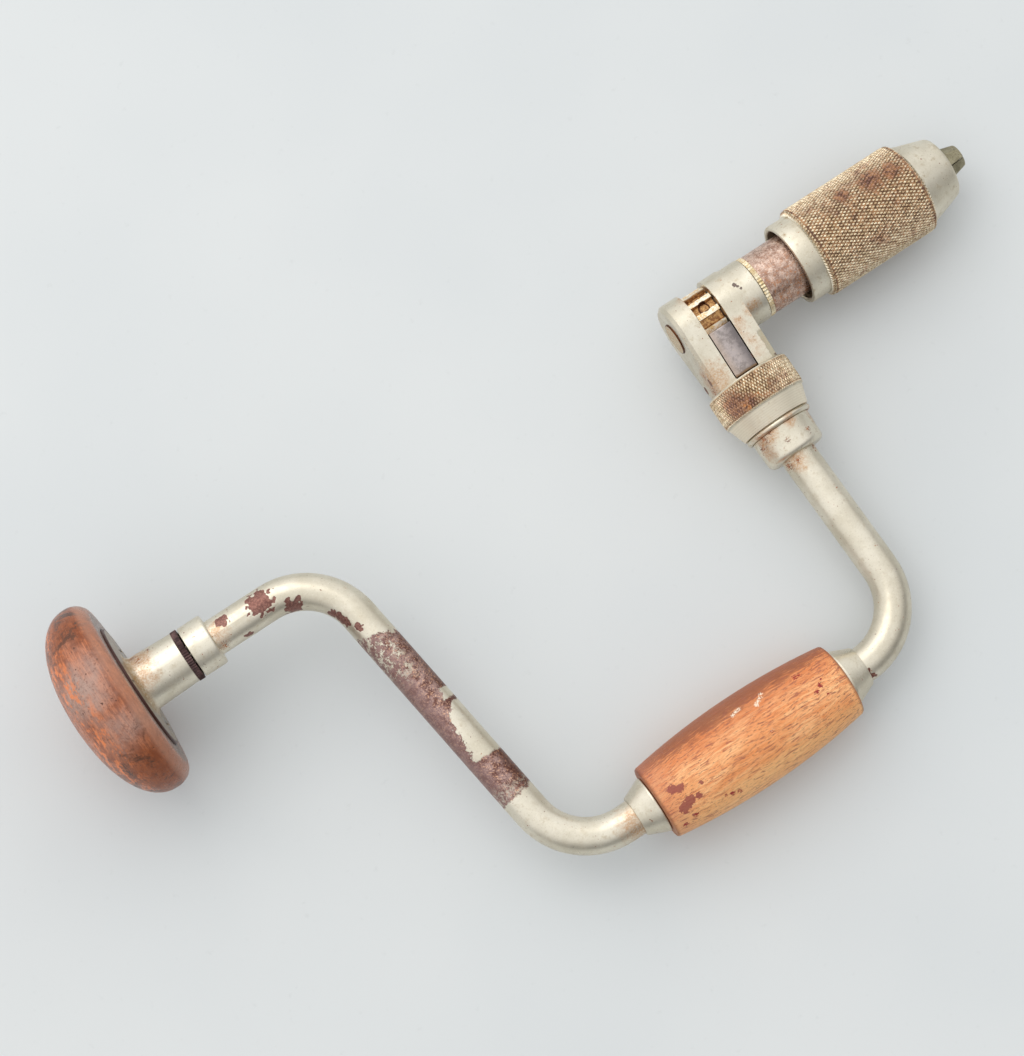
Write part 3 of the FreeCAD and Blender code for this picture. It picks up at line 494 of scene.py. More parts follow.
def handleWood(left, right):
    # pale wood with grain along the handle, painted shade on the far side and painted light on the near
    # side, old paint, and dark rims at both ends
    material, shader, at = startFinish("handleWood", wristFrame)
    along, y, z = axisParts(at)
    drift = vectorMaths("ADD", at, stretched(noise(at, 0.12, 2, 0.5, output=1), 0, 1.6, 1.6))
    grain = noise(stretched(drift, 0.06, 0.9, 0.9), 1.0, 5, 0.7)
    fleck = noise(stretched(drift, 0.16, 1.3, 1.3), 1.0, 5, 0.72)
    pore = noise(stretched(drift, 0.5, 3.4, 3.4), 1.0, 3, 0.6)
    cloud = noise(stretched(at, 0.5, 1.0, 1.0), 0.09, 5, 0.6)
    hair = noise(stretched(drift, 0.3, 5.0, 5.0), 1.0, 2, 0.5)
    base = mixed(between(grain, 0.36, 0.62), handle["grainDark"], handle["grainLight"])
    base = painted(base, between(cloud, 0.42, 0.62, 0, 0.6), handle["clouds"])
    base = painted(base, between(hair, 0.5, 0.66, 0, 0.4), handle["hairs"])
    # painted shade: the far side browner and its edge dark brown, on the top alone, as the handle turns away
    # from the light; painted light: the near side paler
    across = plus(y, swing(fleck, 16.0))
    onTop = between(z, -5.0, 3.0)
    base = painted(base, times(between(across, 0.0, 9.0, 0, 0.65), onTop), handle["farSideShade"])
    base = painted(base, times(between(across, 8.5, 12.5, 0, 0.75), onTop), handle["farEdgeShade"])
    base = painted(base, between(y, -6.0, -12.0, 0, 0.6), handle["nearSideLight"])
    base = painted(base, between(fleck, 0.54, 0.62, 0, 0.85), handle["flecks"])
    base = painted(base, between(pore, 0.6, 0.65, 0, 0.8), handle["pores"])
    base = painted(base, between(along, left + 12.0, left + 1.0), handle["leftEnd"], 0.3)
    chipped = swing(noise(at, 0.8, 4, 0.65), 2.6)
    base = painted(base, spots(at, handle["paintPlaces"], chipped), handle["paint"], 0.85)
    smeared = swing(noise(stretched(at, 0.8, 2.6, 2.6), 1.0, 3, 0.6), 4.0, 0.52)
    base = painted(base, spots(at, handle["redPlaces"], smeared), handle["redPaint"])
    scratched = swing(noise(at, 2.6, 2, 0.5), 5.0, 0.46)
    base = painted(base, spots(at, handle["scratchPlaces"], scratched), handle["scratches"])
    rims = larger(between(along, left + 1.4, left + 0.2), between(along, right - 1.4, right - 0.2))
    base = painted(base, rims, handle["rims"], 0.6)
    shader.inputs["Specular IOR Level"].default_value = handle["specular"]
    height = plus(times(hair, 0.4), times(pore, -0.7))
    finish(shader, base, between(fleck, 0.3, 0.7, 0.36, 0.54), height, 0.5, 0.0004)
    return material


def makeHandle():
    low, high = reach("wrist_handle")
    left, right = low.x, high.x
    big = (high.z - low.z) / 2
    end = handle["endDiameter"] / 2
    half = (right - left) / 2
    arc = (half ** 2 + (big - end) ** 2) / (2 * (big - end))
    edge = handle["edge"]
    steps = handle["steps"]
    rings = [(left, handle["boreRadius"]), (left, end - edge), (left + edge * 0.3, end - edge * 0.25)]
    for i in range(steps + 1):
        place = left + edge + (right - left - 2 * edge) * i / steps
        away = place - (left + right) / 2
        rings.append((place, big - arc + math.sqrt(arc ** 2 - away ** 2)))
    rings += [(right - edge * 0.3, end - edge * 0.25), (right, end - edge), (right, handle["boreRadius"])]
    piece = turnPiece("wristHandle", rings, handle["sides"])
    lay(piece, wristLathe)
    piece.data.materials.append(handleWood(left, right))
    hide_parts("wrist_handle")
    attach(piece, "handle")
    print("handle done")


# Worn nickel

nickelFinish = {
    "dark": colour(209, 200, 180),
    "light": colour(227, 219, 201),
    "greySpecks": colour(166, 154, 126),
    "paleSpecks": colour(232, 226, 210),
    "dirt": colour(170, 148, 108),
    "stains": colour(190, 134, 82),
    "rustDark": colour(112, 64, 42),
    "rustLight": colour(172, 104, 60),
    "collarStaining": 0.4,
    "wireStaining": 0.9,
}


def nickelLook(at, staining, stainPlaces=(), rustPlaces=()):
    # warm worn nickel: colour, roughness, how metallic it is and its height, with stains and grains of rust
    cloud = noise(at, 0.06, 4, 0.6)
    smear = noise(at, 0.35, 6, 0.7)
    fine = noise(at, 1.7, 4, 0.7)
    base = mixed(between(cloud, 0.35, 0.65), nickelFinish["dark"], nickelFinish["light"])
    base = painted(base, between(fine, 0.54, 0.72, 0, 0.35), nickelFinish["greySpecks"])
    base = painted(base, between(fine, 0.44, 0.3, 0, 0.5), nickelFinish["paleSpecks"])
    dirt = times(between(smear, 0.52, 0.72), between(cloud, 0.4, 0.58, 0.3, 1.0))
    base = painted(base, dirt, nickelFinish["dirt"], staining)
    stain = times(dirt, staining * 0.6)
    rust = times(between(noise(at, 0.95, 2, 0.5), 0.71, 0.73), 0.8)
    if stainPlaces:
        soft = times(spots(at, stainPlaces, swing(smear, 2.4), 0.6), between(fine, 0.36, 0.6, 0.25, 0.9))
        base = painted(base, soft, nickelFinish["stains"], 0.72)
        stain = larger(stain, times(soft, 0.5))
    if rustPlaces:
        middle = larger(inside(at, rustPlaces), 0.0)
        grains = plus(noise(at, 1.8, 5, 0.75), times(middle, 0.14))
        rust = larger(rust, times(between(grains, 0.58, 0.64), between(middle, 0.0, 0.12)))
    rustColour = mixed(between(smear, 0.42, 0.58), nickelFinish["rustDark"], nickelFinish["rustLight"])
    base = painted(base, rust, rustColour)
    roughness = plus(between(smear, 0.3, 0.7, 0.27, 0.4), times(rust, 0.25))
    roughness = plus(roughness, times(stain, 0.12))
    metal = minus(1.0, times(larger(rust, times(stain, 0.4)), 0.9))
    return base, roughness, metal, plus(times(smear, 0.5), times(fine, 0.5))


def nickel(name, staining, stainPlaces=(), rustPlaces=()):
    material, shader, at = startFinish(name)
    base, roughness, metal, height = nickelLook(at, staining, stainPlaces, rustPlaces)
    finishMetal(shader, base, roughness, metal, height, 0.2)
    return material


# Knurled pieces: a ring of squares, repeated along the axis, poked and turned into diamonds


def knurledTube(name, start, end, radius, around, rows, depth, land, fade):
    # fade is the radius of the rounding at both ends, which the knurl runs into
    step = (end - start) / rows
    floor = radius - depth
    bpy.ops.object.select_all(action="DESELECT")
    bpy.ops.mesh.primitive_cylinder_add(vertices=around, radius=floor, depth=step, end_fill_type="NOTHING",
                                        location=(0, 0, start + step / 2))
    piece = bpy.context.object
    piece.name = name
    bpy.ops.object.transform_apply()
    repeat = piece.modifiers.new("rows", "ARRAY")
    repeat.count = rows
    repeat.use_relative_offset = False
    repeat.use_constant_offset = True
    repeat.constant_offset_displace = (0, 0, step)
    repeat.use_merge_vertices = True
    repeat.merge_threshold = 0.01
    bpy.ops.object.modifier_apply(modifier="rows")
    editOn()
    bpy.ops.mesh.select_all(action="SELECT")
    bpy.ops.mesh.normals_make_consistent(inside=False)
    bpy.ops.mesh.poke()
    editOff()
    places = [vertex.co.z for vertex in piece.data.vertices]

    def onRing(place):
        share = (place - start) / step
        return near(share, round(share), 0.1)

    def isOldEdge(edge):  # an edge of the squares, which goes so that the poked triangles pair up
        a, b = (places[i] for i in edge.vertices)
        atEnd = near(a, b) and (near(a, start) or near(a, end))
        return onRing(a) and onRing(b) and not atEnd

    editOn()
    pick(isOldEdge, "EDGE")
    bpy.ops.mesh.dissolve_edges(use_verts=False)
    for i in range(math.ceil(2 * fade / step)):  # the rounding at both ends
        away = i * step / 2
        wanted = radius - fade + math.sqrt(fade ** 2 - (fade - away) ** 2) - depth
        grow = wanted / floor
        for place in (start + away, end - away):
            pick(lambda v: near(v.co.z, place))
            bpy.ops.transform.resize(value=(grow, grow, 1), center_override=(0, 0, place))
    bpy.ops.mesh.select_mode(type="FACE")
    bpy.ops.mesh.select_all(action="SELECT")
    bpy.ops.mesh.inset(thickness=land, depth=depth, use_individual=True, use_even_offset=True)
    return piece


def addRings(first, rings):  # rings grown from the open edge at a place
    pick(lambda v: near(v.co.z, first[0]) and near(v.co.xy.length, first[1], 0.05))
    before = first
    for ring in rings:
        nextRing(before, ring)
        before = ring


def closeTube():
    bpy.ops.mesh.select_mode(type="VERT")
    bpy.ops.mesh.select_all(action="SELECT")
    bpy.ops.mesh.remove_doubles(threshold=0.002)
    bpy.ops.mesh.normals_make_consistent(inside=False)
    editOff()


knurl = {
    "tanDark": colour(204, 180, 142),
    "tanLight": colour(248, 236, 206),
    "brownDark": colour(130, 98, 92),
    "brownLight": colour(186, 144, 118),
    "rustyCrest": colour(148, 100, 70),
    "valleyDark": colour(112, 80, 62),
    "valleyLight": colour(192, 150, 110),
    "orange": colour(206, 150, 98),
    # a pale tone of painted light for the cam ring's skirt
    "skirt": colour(246, 234, 210),
    "skirtLines": colour(176, 156, 116),
    "staining": 0.7,
}


def knurlMetal(name, place, axis, start, end, crest, fade, brownPlaces, orangePlaces=(), turnedAndLitSkirt=False):
    # on the knurl, tan crests over brown valleys, told apart by their depth; worn nickel beyond it, which on
    # a turned skirt gets turned lines and a pale tone of painted light
    material, shader, at = startFinish(name, place)
    base, roughness, metal, height = nickelLook(at, knurl["staining"])
    along = axisParts(at)[axis]
    out = fromAxis(at, (0, 1, 1) if axis == 0 else (1, 1, 0))
    fromEnd = maths("MINIMUM", minus(along, start), minus(end, along))
    if turnedAndLitSkirt:
        turned = maths("SINE", times(plus(along, times(height, 0.3)), 8.0))
        # painted light: the skirt beyond the knurl is made pale and less metallic so that it reads bright
        beyond = between(along, end + 0.5, end + 0.8)
        base = painted(base, beyond, knurl["skirt"], 0.6)
        base = painted(base, times(beyond, between(turned, 0.2, 1.0, 0, 0.14)), knurl["skirtLines"])
        metal = minus(metal, times(beyond, 0.4))
    crestHere = minus(crest, between(fromEnd, 0.0, fade * 0.77, fade, 0.03, smooth=False))
    raised = larger(between(minus(crestHere, out), 0.24, 0.06), between(fromEnd, 0.9, 0.4, 0, 0.7))
    cloud = noise(at, 0.12, 5, 0.7)
    fine = noise(at, 0.6, 4, 0.7)
    grain = noise(at, 1.4, 3, 0.7)
    broken = swing(fine, 3.0)
    tan = mixed(between(fine, 0.38, 0.62), knurl["tanDark"], knurl["tanLight"])
    brown = mixed(between(fine, 0.4, 0.6), knurl["brownDark"], knurl["brownLight"])
    browned = larger(between(cloud, 0.5, 0.68, 0, 0.7), spots(at, brownPlaces, broken, 0.4))
    crests = painted(tan, browned, brown)
    crests = painted(crests, between(grain, 0.52, 0.62, 0, 0.75), knurl["rustyCrest"])
    valleys = mixed(between(fine, 0.42, 0.6), knurl["valleyDark"], knurl["valleyLight"])
    knurled = mixed(raised, valleys, crests)
    if orangePlaces:
        knurled = painted(knurled, spots(at, orangePlaces, broken, 0.3), knurl["orange"], 0.7)
    onKnurl = between(fromEnd, 0.1, 0.5)
    base = painted(base, onKnurl, knurled)
    roughness = mixedValue(onKnurl, plus(roughness, 0.1), mixedValue(raised, 0.6, 0.33))
    metal = mixedValue(onKnurl, metal, mixedValue(raised, 0.3, 0.9))
    finishMetal(shader, base, roughness, metal, height, 0.2)
    return material


shell = {
    "collarLength": 7.1,
    "collarRadius": 15.1,
    "collarEdge": 0.5,
    "knurlRadius": 16.95,
    "knurlLength": 43.7,
    "edge": 1.5,
    "noseBaseRadius": 15.4,
    "noseRadius": 11.15,
    "noseEdge": 1.4,
    "noseLip": 1.8,
    "mouthRadius": 7.1,
    "lipRoomRadius": 9.1,
    "roomRadius": 12.7,
    "threadRadius": 11.3,
    "threadStart": 12.0,
    "threadEnd": 22.0,
    "rearRadius": 13.5,
    "chamfer": 0.4,
    "around": 82,
    "rows": 19,
    "depth": 0.36,
    "land": 0.30,
    "brownPlaces": [(323.3, 7.2, 15.3, 4.6), (331.0, 6.0, 15.6, 3.6), (312.0, 8.0, 15.0, 3.0)],
}


def makeShell():
    low, high = reach("chuck_shell")
    rear, front = low.x, high.x
    knurlStart = rear + shell["collarLength"]
    knurlEnd = knurlStart + shell["knurlLength"]
    piece = knurledTube("chuckShell", knurlStart, knurlEnd, shell["knurlRadius"], shell["around"],
                        shell["rows"], shell["depth"], shell["land"], shell["edge"])
    endRadius = shell["knurlRadius"] - shell["edge"] - shell["depth"]
    base, nose, edge = shell["noseBaseRadius"], shell["noseRadius"], shell["noseEdge"]
    lip, mouth, chamfer = shell["noseLip"], shell["mouthRadius"], shell["chamfer"]
    collar, collarEdge = shell["collarRadius"], shell["collarEdge"]
    addRings((knurlEnd, endRadius), [
        (knurlEnd + 0.1, base - 0.05),
        (knurlEnd + 0.5, base - 0.22),
        (front - edge, nose + 0.42),  # the nose's rounded edge
        (front - edge * 0.55, nose + 0.13),
        (front - edge * 0.22, nose - 0.35),
        (front - 0.02, nose - edge * 0.75),
        (front, mouth + chamfer),
        (front - chamfer, mouth),
        (front - lip, mouth),
        (front - lip, shell["lipRoomRadius"]),  # from here on the inside, back to the rear
        (knurlEnd + 0.6, shell["roomRadius"]),
        (rear + shell["threadEnd"], shell["roomRadius"]),
        (rear + shell["threadEnd"], shell["threadRadius"]),
        (rear + shell["threadStart"], shell["threadRadius"]),
        (rear + shell["threadStart"], shell["rearRadius"]),
        (rear + chamfer, shell["rearRadius"]),
        (rear, shell["rearRadius"] + chamfer),
        (rear, collar - collarEdge),  # the plain collar
        (rear + 0.15, collar - 0.15),
        (rear + collarEdge, collar),
        (knurlStart - 0.25, collar),
        (knurlStart, endRadius),
    ])
    closeTube()
    lay(piece, spineLathe)
    metal = knurlMetal("shellMetal", braceFrame, 0, knurlStart, knurlEnd, shell["knurlRadius"],
                       shell["edge"], shell["brownPlaces"])
    piece.data.materials.append(metal)
    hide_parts("chuck_shell")
    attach(piece, "shell")
    print("chuck shell done,", len(piece.data.polygons), "faces")


camRing = {
    "radius": 15.55,
    "knurlLength": 11.8,
    "knurlGap": 0.4,
    "lowerGap": 0.35,
    "fade": 0.3,
    "edge": 0.9,
    "skirtTopRadius": 14.8,
    "skirtRadius": 12.65,
    "boreRadius": 11.0,
    "roomRadius": 13.95,
    "roomStart": 1.0,
    "roomLength": 5.3,
    "around": 93,
    "rows": 5,
    "depth": 0.30,
    "land": 0.25,
    "brownPlaces": [(-10.8, 10.9, 32.0, 5.0), (-7.0, 13.6, 33.6, 3.4)],  # in the cross arm's frame
    "orangePlaces": [(-7.4, 13.6, 35.0, 0.8), (-8.3, 13.0, 33.6, 0.5), (-2.6, 15.0, 32.6, 0.5)],
}


def makeCamRing():
    low, high = reach("cam_ring")
    top, bottom = -high.y, -low.y
    knurlTop = top + camRing["knurlGap"]
    knurlBottom = top + camRing["knurlLength"] - camRing["lowerGap"]
    radius, fade = camRing["radius"], camRing["fade"]
    piece = knurledTube("camRing", knurlTop, knurlBottom, radius, camRing["around"],
                        camRing["rows"], camRing["depth"], camRing["land"], fade)
    endRadius = radius - fade - camRing["depth"]
    skirtTop, skirt = camRing["skirtTopRadius"], camRing["skirtRadius"]
    bore, room = camRing["boreRadius"], camRing["roomRadius"]
    roomTop = top + camRing["roomStart"]
    roomBottom = roomTop + camRing["roomLength"]
    addRings((knurlBottom, endRadius), [
        (knurlBottom + 0.1, radius - 0.2),
        (knurlBottom + 0.3, radius - 0.3),
        (knurlBottom + 0.38, skirtTop + 0.1),
        (knurlBottom + 0.62, skirtTop - 0.05),
        (bottom - 0.35, skirt + 0.1),
        (bottom - 0.08, skirt - 0.05),
        (bottom, skirt - 0.35),
        (bottom, bore),
        (roomBottom, bore),
        (roomBottom, room),
        (roomTop, room),
        (roomTop, bore),
        (top, bore),
        (top, radius - camRing["edge"]),
        (top + 0.12, radius - 0.62),
        (knurlTop, endRadius),
    ])
    closeTube()
    lay(piece, armLathe)
    metal = knurlMetal("ringMetal", armLathe, 2, knurlTop, knurlBottom, radius, fade,
                       camRing["brownPlaces"], camRing["orangePlaces"], turnedAndLitSkirt=True)
    piece.data.materials.append(metal)
    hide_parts("cam_ring")
    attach(piece, "cam")
    print("cam ring done,", len(piece.data.polygons), "faces")


# Finishes of the pieces that keep their CAD mesh

quill = {
    "stainPlaces": [(29.5, 6.5, 7.0, 5.0), (28.0, 0.0, 10.0, 4.0)],
    "rustPlaces": [(29.4, 6.5, 7.0, 2.0), (33.4, 7.8, 5.0, 1.6), (27.6, 8.6, 5.0, 2.6)],
    "staining": 0.3,
    "foot": colour(150, 116, 62),
    "flange": colour(134, 120, 104),
    "flangeEdge": colour(70, 34, 22),
}


def quillNickel():
    # plain nickel, with a rusty line round the flange's edge and the quill's foot
    material, shader, at = startFinish("quillNickel")
    base, roughness, metal, height = nickelLook(at, quill["staining"], quill["stainPlaces"],
                                                quill["rustPlaces"])
    along = axisParts(at)[0]
    out = fromAxis(at)
    foot = times(band(along, 24.7, 27.6, 0.8), between(out, 9.6, 10.4))
    foot = times(foot, between(height, 0.36, 0.6, 0.35, 1.0))
    base = painted(base, foot, quill["foot"], 0.85)
    onFlange = between(along, 26.5, 25.5)
    base = painted(base, times(between(out, 12.0, 13.0), onFlange), quill["flange"], 0.7)
    edge = times(between(out, 21.6, 22.2), onFlange)
    base = painted(base, edge, quill["flangeEdge"])
    metal = without(metal, times(larger(foot, edge), 0.8))
    finishMetal(shader, base, roughness, metal, height, 0.2)
    return material


box = {
    "stainPlaces": [
        (259.0, -9.0, 12.2, 2.4), (258.8, -12.5, 12.2, 2.6), (259.0, -16.5, 12.2, 3.0),
        (258.8, -20.5, 12.2, 3.2), (258.6, -24.0, 12.2, 2.6), (263.0, -18.5, 12.0, 2.6),
        (246.6, -20.0, 12.2, 2.4), (247.0, -24.5, 12.2, 2.6), (244.0, -25.0, 12.0, 2.6),
        (266.4, -7.0, 11.0, 3.0), (249.5, 9.0, 9.0, 3.0), (240.2, -20.0, 6.0, 6.5),
        (240.2, -25.0, 3.0, 6.0), (244.2, -46.5, 7.0, 3.6), (247.0, -45.4, 9.0, 2.6),
        (264.0, -45.8, 1.5, 4.0), (254.5, -45.0, 10.7, 2.4), (243.4, -50.5, 5.5, 3.0),
    ],
    "rustPlaces": [
        (240.2, -23.5, 3.5, 4.5), (240.4, -17.0, 4.0, 2.6), (244.2, -46.2, 7.2, 2.8),
        (242.8, -48.2, 4.6, 2.6), (247.0, -45.4, 8.9, 1.8), (254.4, -44.9, 10.7, 1.4),
        (250.2, -51.0, 10.6, 1.5), (258.6, -51.2, 9.1, 1.3), (252.9, -55.6, 10.9, 1.0),
        (264.0, -45.8, 1.0, 3.2), (262.5, -24.5, 12.0, 1.4), (266.6, -6.6, 12.0, 1.6),
        (262.9, -17.6, 12.2, 1.2), (257.6, -15.6, 12.2, 1.5), (257.4, -21.5, 12.2, 2.2),
        (247.6, -24.0, 12.2, 1.6),
    ],
    "chipPlaces": [
        (242.9, -13.6, 12.2, 0.5), (243.2, -14.8, 12.2, 0.7), (243.5, -15.8, 12.2, 0.5),
        (241.0, -12.9, 12.0, 0.45), (243.9, -19.0, 12.2, 0.5), (242.1, -23.0, 12.2, 0.45),
        (243.6, -24.6, 12.2, 0.35), (244.1, -25.7, 12.2, 0.4), (239.9, -20.9, 11.4, 0.6),
        (239.9, -22.2, 11.4, 0.7), (240.3, -23.6, 11.4, 0.6), (265.2, 2.9, 11.3, 0.7),
        (265.8, 1.9, 11.4, 0.45), (266.3, 0.7, 11.6, 0.4), (264.0, -24.0, 8.0, 0.5),
    ],
    "staining": 0.6,
    "shoulder": colour(150, 140, 112),
    "chips": colour(84, 58, 52),
}


def boxNickel():
    # nickel with small dark chips, and painted shade with a bump at a lower shoulder along the ear on the
    # chuck's side
    material, shader, at = startFinish("boxNickel")
    base, roughness, metal, height = nickelLook(at, box["staining"], box["stainPlaces"], box["rustPlaces"])
    x, y = axisParts(at)[:2]
    # painted shade: darker where the ear's face steps down to a lower shoulder, standing in for faces that
    # tilt away from the light
    ragged = swing(noise(at, 0.6, 4, 0.6), 1.8)
    shoulder = between(plus(x, ragged), armX + 9.9, armX + 10.1)
    shoulder = times(shoulder, times(between(y, -13.8, -15.0), between(y, -27.0, -26.0)))
    base = painted(base, shoulder, box["shoulder"], 0.6)
    broken = swing(noise(at, 1.6, 4, 0.65), 2.6)
    chips = spots(at, box["chipPlaces"], plus(broken, 0.12))
    base = painted(base, chips, box["chips"], 0.85)
    metal = without(metal, times(chips, 0.7))
    height = minus(times(height, 0.3), larger(shoulder, chips))
    finishMetal(shader, base, roughness, metal, height, 0.4)
    return material


rod = {
    "patchPlaces": [
        (73.2, 0.9, 6.0, 4.6), (59.3, 2.9, 6.0, 2.3), (81.4, -6.8, 4.0, 3.6), (79.0, -8.0, 3.0, 2.2),
        (64.5, -7.2, 3.0, 2.2), (91.0, -15.5, 3.6, 1.9), (93.2, -20.0, 4.0, 2.3), (92.4, -17.6, 3.6, 1.8),
        (96.0, -24.2, 6.0, 1.5), (228.4, -131.4, 4.0, 2.8), (146.5, -127.5, 5.5, 1.5),
    ],
    "stainPlaces": [(56.0, 0.0, 5.0, 3.6), (250.0, -58.0, 5.0, 3.4), (136.0, -128.0, 4.0, 5.0)],
    "rustPlaces": [
        (56.0, -4.5, 4.0, 2.6), (247.0, -58.0, 3.0, 2.8), (250.0, -58.0, 6.0, 1.6),
        (257.5, -57.0, 3.5, 2.6),
    ],
    "staining": 0.4,
    "bareTop": -30.5,  # y where the bare steel starts and ends on the arm on the head's side
    "bareBottom": -99.5,
    "armMiddle": 102.5,  # x of that arm's middle at armTop, and how far it moves for each millimetre down
    "armTop": -30.4,
    "armLean": 0.0997,
    "kept": (-83.0, -61.5),  # y between which a strip of nickel is left, and a small one above it
    "keptTaper": 5.0,
    "keptTop": (-60.0, -56.0),
    "bareDark": colour(112, 76, 68),
    "bareLight": colour(170, 140, 132),
    "brightSpecks": colour(232, 184, 150),
    "darkSpecks": colour(80, 46, 40),
    "leftReflection": colour(142, 112, 108),
    "rightBrownAndShadeDark": colour(84, 48, 38),
    "rightBrownAndShadeLight": colour(150, 96, 66),
    "patchDark": colour(104, 62, 52),
    "patchLight": colour(146, 98, 84),
}


def rodNickel():
    # nickel worn through in patches, and down to brown steel along the arm on the head's side, with a
    # painted reflection down the steel's left side and painted shade with brown down its right
    material, shader, at = startFinish("rodNickel")
    base, roughness, metal, height = nickelLook(at, rod["staining"], rod["stainPlaces"], rod["rustPlaces"])
    x, y = axisParts(at)[:2]
    broken = minus(noise(at, 0.42, 6, 0.72), 0.5)
    jagged = minus(noise(at, 1.1, 5, 0.7), 0.5)
    ragged = plus(times(broken, 9.0), times(jagged, 5.0))
    side = minus(x, minus(rod["armMiddle"], times(minus(y, rod["armTop"]), rod["armLean"])))
    topEnd = plus(minus(y, times(side, -0.35)), ragged)
    bottomEnd = plus(minus(y, times(side, 0.2)), times(ragged, 0.5))
    bare = times(between(topEnd, rod["bareTop"] + 0.4, rod["bareTop"] - 0.4),
                 between(bottomEnd, rod["bareBottom"] - 0.4, rod["bareBottom"] + 0.4))
    bare = times(bare, between(x, 170, 150))  # on this arm alone

    sideRagged = plus(side, plus(times(broken, 8.0), times(jagged, 4.0)))
    downRagged = plus(y, times(ragged, 0.3))
    keptLow, keptHigh = rod["kept"]
    taperEnd = keptHigh - rod["keptTaper"]
    leftLimit = plus(between(y, keptHigh, taperEnd, 3.0, -1.2, smooth=False),
                     between(y, taperEnd, keptLow, 0.0, -3.0, smooth=False))
    strip = times(band(downRagged, keptLow, keptHigh, 0.3), between(minus(sideRagged, leftLimit), -0.2, 0.2))
    topStrip = times(band(downRagged, *rod["keptTop"], 0.3), between(sideRagged, 1.2, 1.6))
    bare = without(bare, larger(strip, topStrip))

    silver = between(noise(at, 0.55, 6, 0.8), 0.51, 0.55)  # flecks of nickel left near both ends
    nearTop = times(between(y, -52, -40), between(side, 2.0, -1.0))
    silver = times(silver, larger(nearTop, between(y, -92, -98, 0, 0.6)))
    bare = without(bare, times(silver, 0.95))

    chipped = swing(noise(at, 0.5, 1, 0.5), 2.2)
    patches = spots(at, rod["patchPlaces"], plus(chipped, times(jagged, 0.3)))
    bare = larger(bare, patches)

    fine = noise(at, 1.5, 5, 0.75)
    worn = mixed(between(noise(at, 0.3, 5, 0.7), 0.4, 0.6), rod["bareDark"], rod["bareLight"])
    worn = painted(worn, between(fine, 0.54, 0.62, 0, 0.85), rod["brightSpecks"])
    worn = painted(worn, between(fine, 0.46, 0.38, 0, 0.8), rod["darkSpecks"])
    # painted reflection: a smooth mauve-grey band down the bare steel's left side; painted shade, mixed with
    # brown, darkening its right edge
    worn = painted(worn, between(side, -1.5, -4.0, 0, 0.6), rod["leftReflection"])
    right = mixed(between(fine, 0.5, 0.62), rod["rightBrownAndShadeDark"], rod["rightBrownAndShadeLight"])
    worn = painted(worn, between(side, 1.5, 5.0, 0, 0.8), right)
    patchColour = mixed(between(fine, 0.4, 0.6), rod["patchDark"], rod["patchLight"])
    worn = painted(worn, patches, patchColour, 0.7)

    base = painted(base, bare, worn)
    roughness = mixedValue(bare, roughness, between(fine, 0.3, 0.7, 0.28, 0.44))
    metal = without(metal, times(bare, 0.25))
    height = plus(minus(times(height, 0.4), bare), times(times(fine, bare), 0.6))
    finishMetal(shader, base, roughness, metal, height, 0.45)
    return material


# Plain steels and brass: light, dark and speck colours, roughness, how metallic, and scale of the clouds
steels = {
    "darkSteel": (colour(96, 72, 70), colour(58, 42, 42), colour(120, 94, 88), 0.45, 0.7, 0.3),
    "pinSteel": (colour(124, 70, 50), colour(92, 50, 38), colour(150, 92, 64), 0.45, 0.7, 0.3),
    "brownSteel": (colour(136, 90, 66), colour(92, 56, 42), colour(160, 104, 66), 0.45, 0.7, 0.3),
    "jawSteel": (colour(160, 152, 126), colour(128, 120, 96), colour(104, 92, 72), 0.34, 0.9, 0.3),
    "brassWasher": (colour(246, 234, 206), colour(216, 190, 142), colour(140, 100, 60), 0.36, 0.9, 0.5),
    "plainSteel": (colour(170, 166, 158), colour(140, 134, 126), colour(110, 96, 84), 0.3, 0.95, 0.3),
}


def mottledSteel(name):
    light, dark, specks, roughness, metallic, scale = steels[name]
    material, shader, at = startFinish(name)
    cloud = noise(at, scale, 6, 0.72)
    fine = noise(at, 1.6, 4, 0.68)
    base = mixed(between(cloud, 0.38, 0.62), dark, light)
    base = painted(base, between(fine, 0.56, 0.66, 0, 0.8), specks)
    finishMetal(shader, base, between(fine, 0.3, 0.7, roughness - 0.08, roughness + 0.1), metallic, fine)
    return material


spindle = {
    "dark": colour(164, 130, 113),
    "light": colour(222, 195, 178),
    "brightSpecks": colour(244, 226, 212),
    "darkSpecks": colour(112, 80, 66),
    "rust": colour(192, 128, 84),
    "discLight": colour(214, 196, 160),
    "discDark": colour(190, 152, 104),
    "discRim": colour(92, 54, 30),
}


def spindleMetal():
    # mottled brown barrel with orange rust low down; the end disc on the box is worn nickel
    material, shader, at = startFinish("spindleMetal")
    along, y = axisParts(at)[:2]
    cloud = noise(at, 0.35, 6, 0.75)
    fine = noise(at, 1.7, 5, 0.75)
    base = mixed(between(cloud, 0.4, 0.62), spindle["dark"], spindle["light"])
    base = painted(base, between(fine, 0.54, 0.66, 0, 0.7), spindle["brightSpecks"])
    base = painted(base, between(fine, 0.44, 0.36, 0, 0.7), spindle["darkSpecks"])
    rusty = times(between(noise(at, 0.8, 6, 0.75), 0.5, 0.6), between(y, 6.0, -8.0, 0.25, 1.0))
    base = painted(base, rusty, spindle["rust"], 0.8)
    disc = between(along, armX - 8.0, armX - 9.0)
    base = painted(base, disc, mixed(between(fine, 0.4, 0.62), spindle["discLight"], spindle["discDark"]))
    base = painted(base, times(disc, between(fromAxis(at), 5.2, 5.6)), spindle["discRim"])
    finishMetal(shader, base, between(fine, 0.3, 0.7, 0.22, 0.36), mixedValue(disc, 0.85, 0.9), fine, 0.3)
    return material


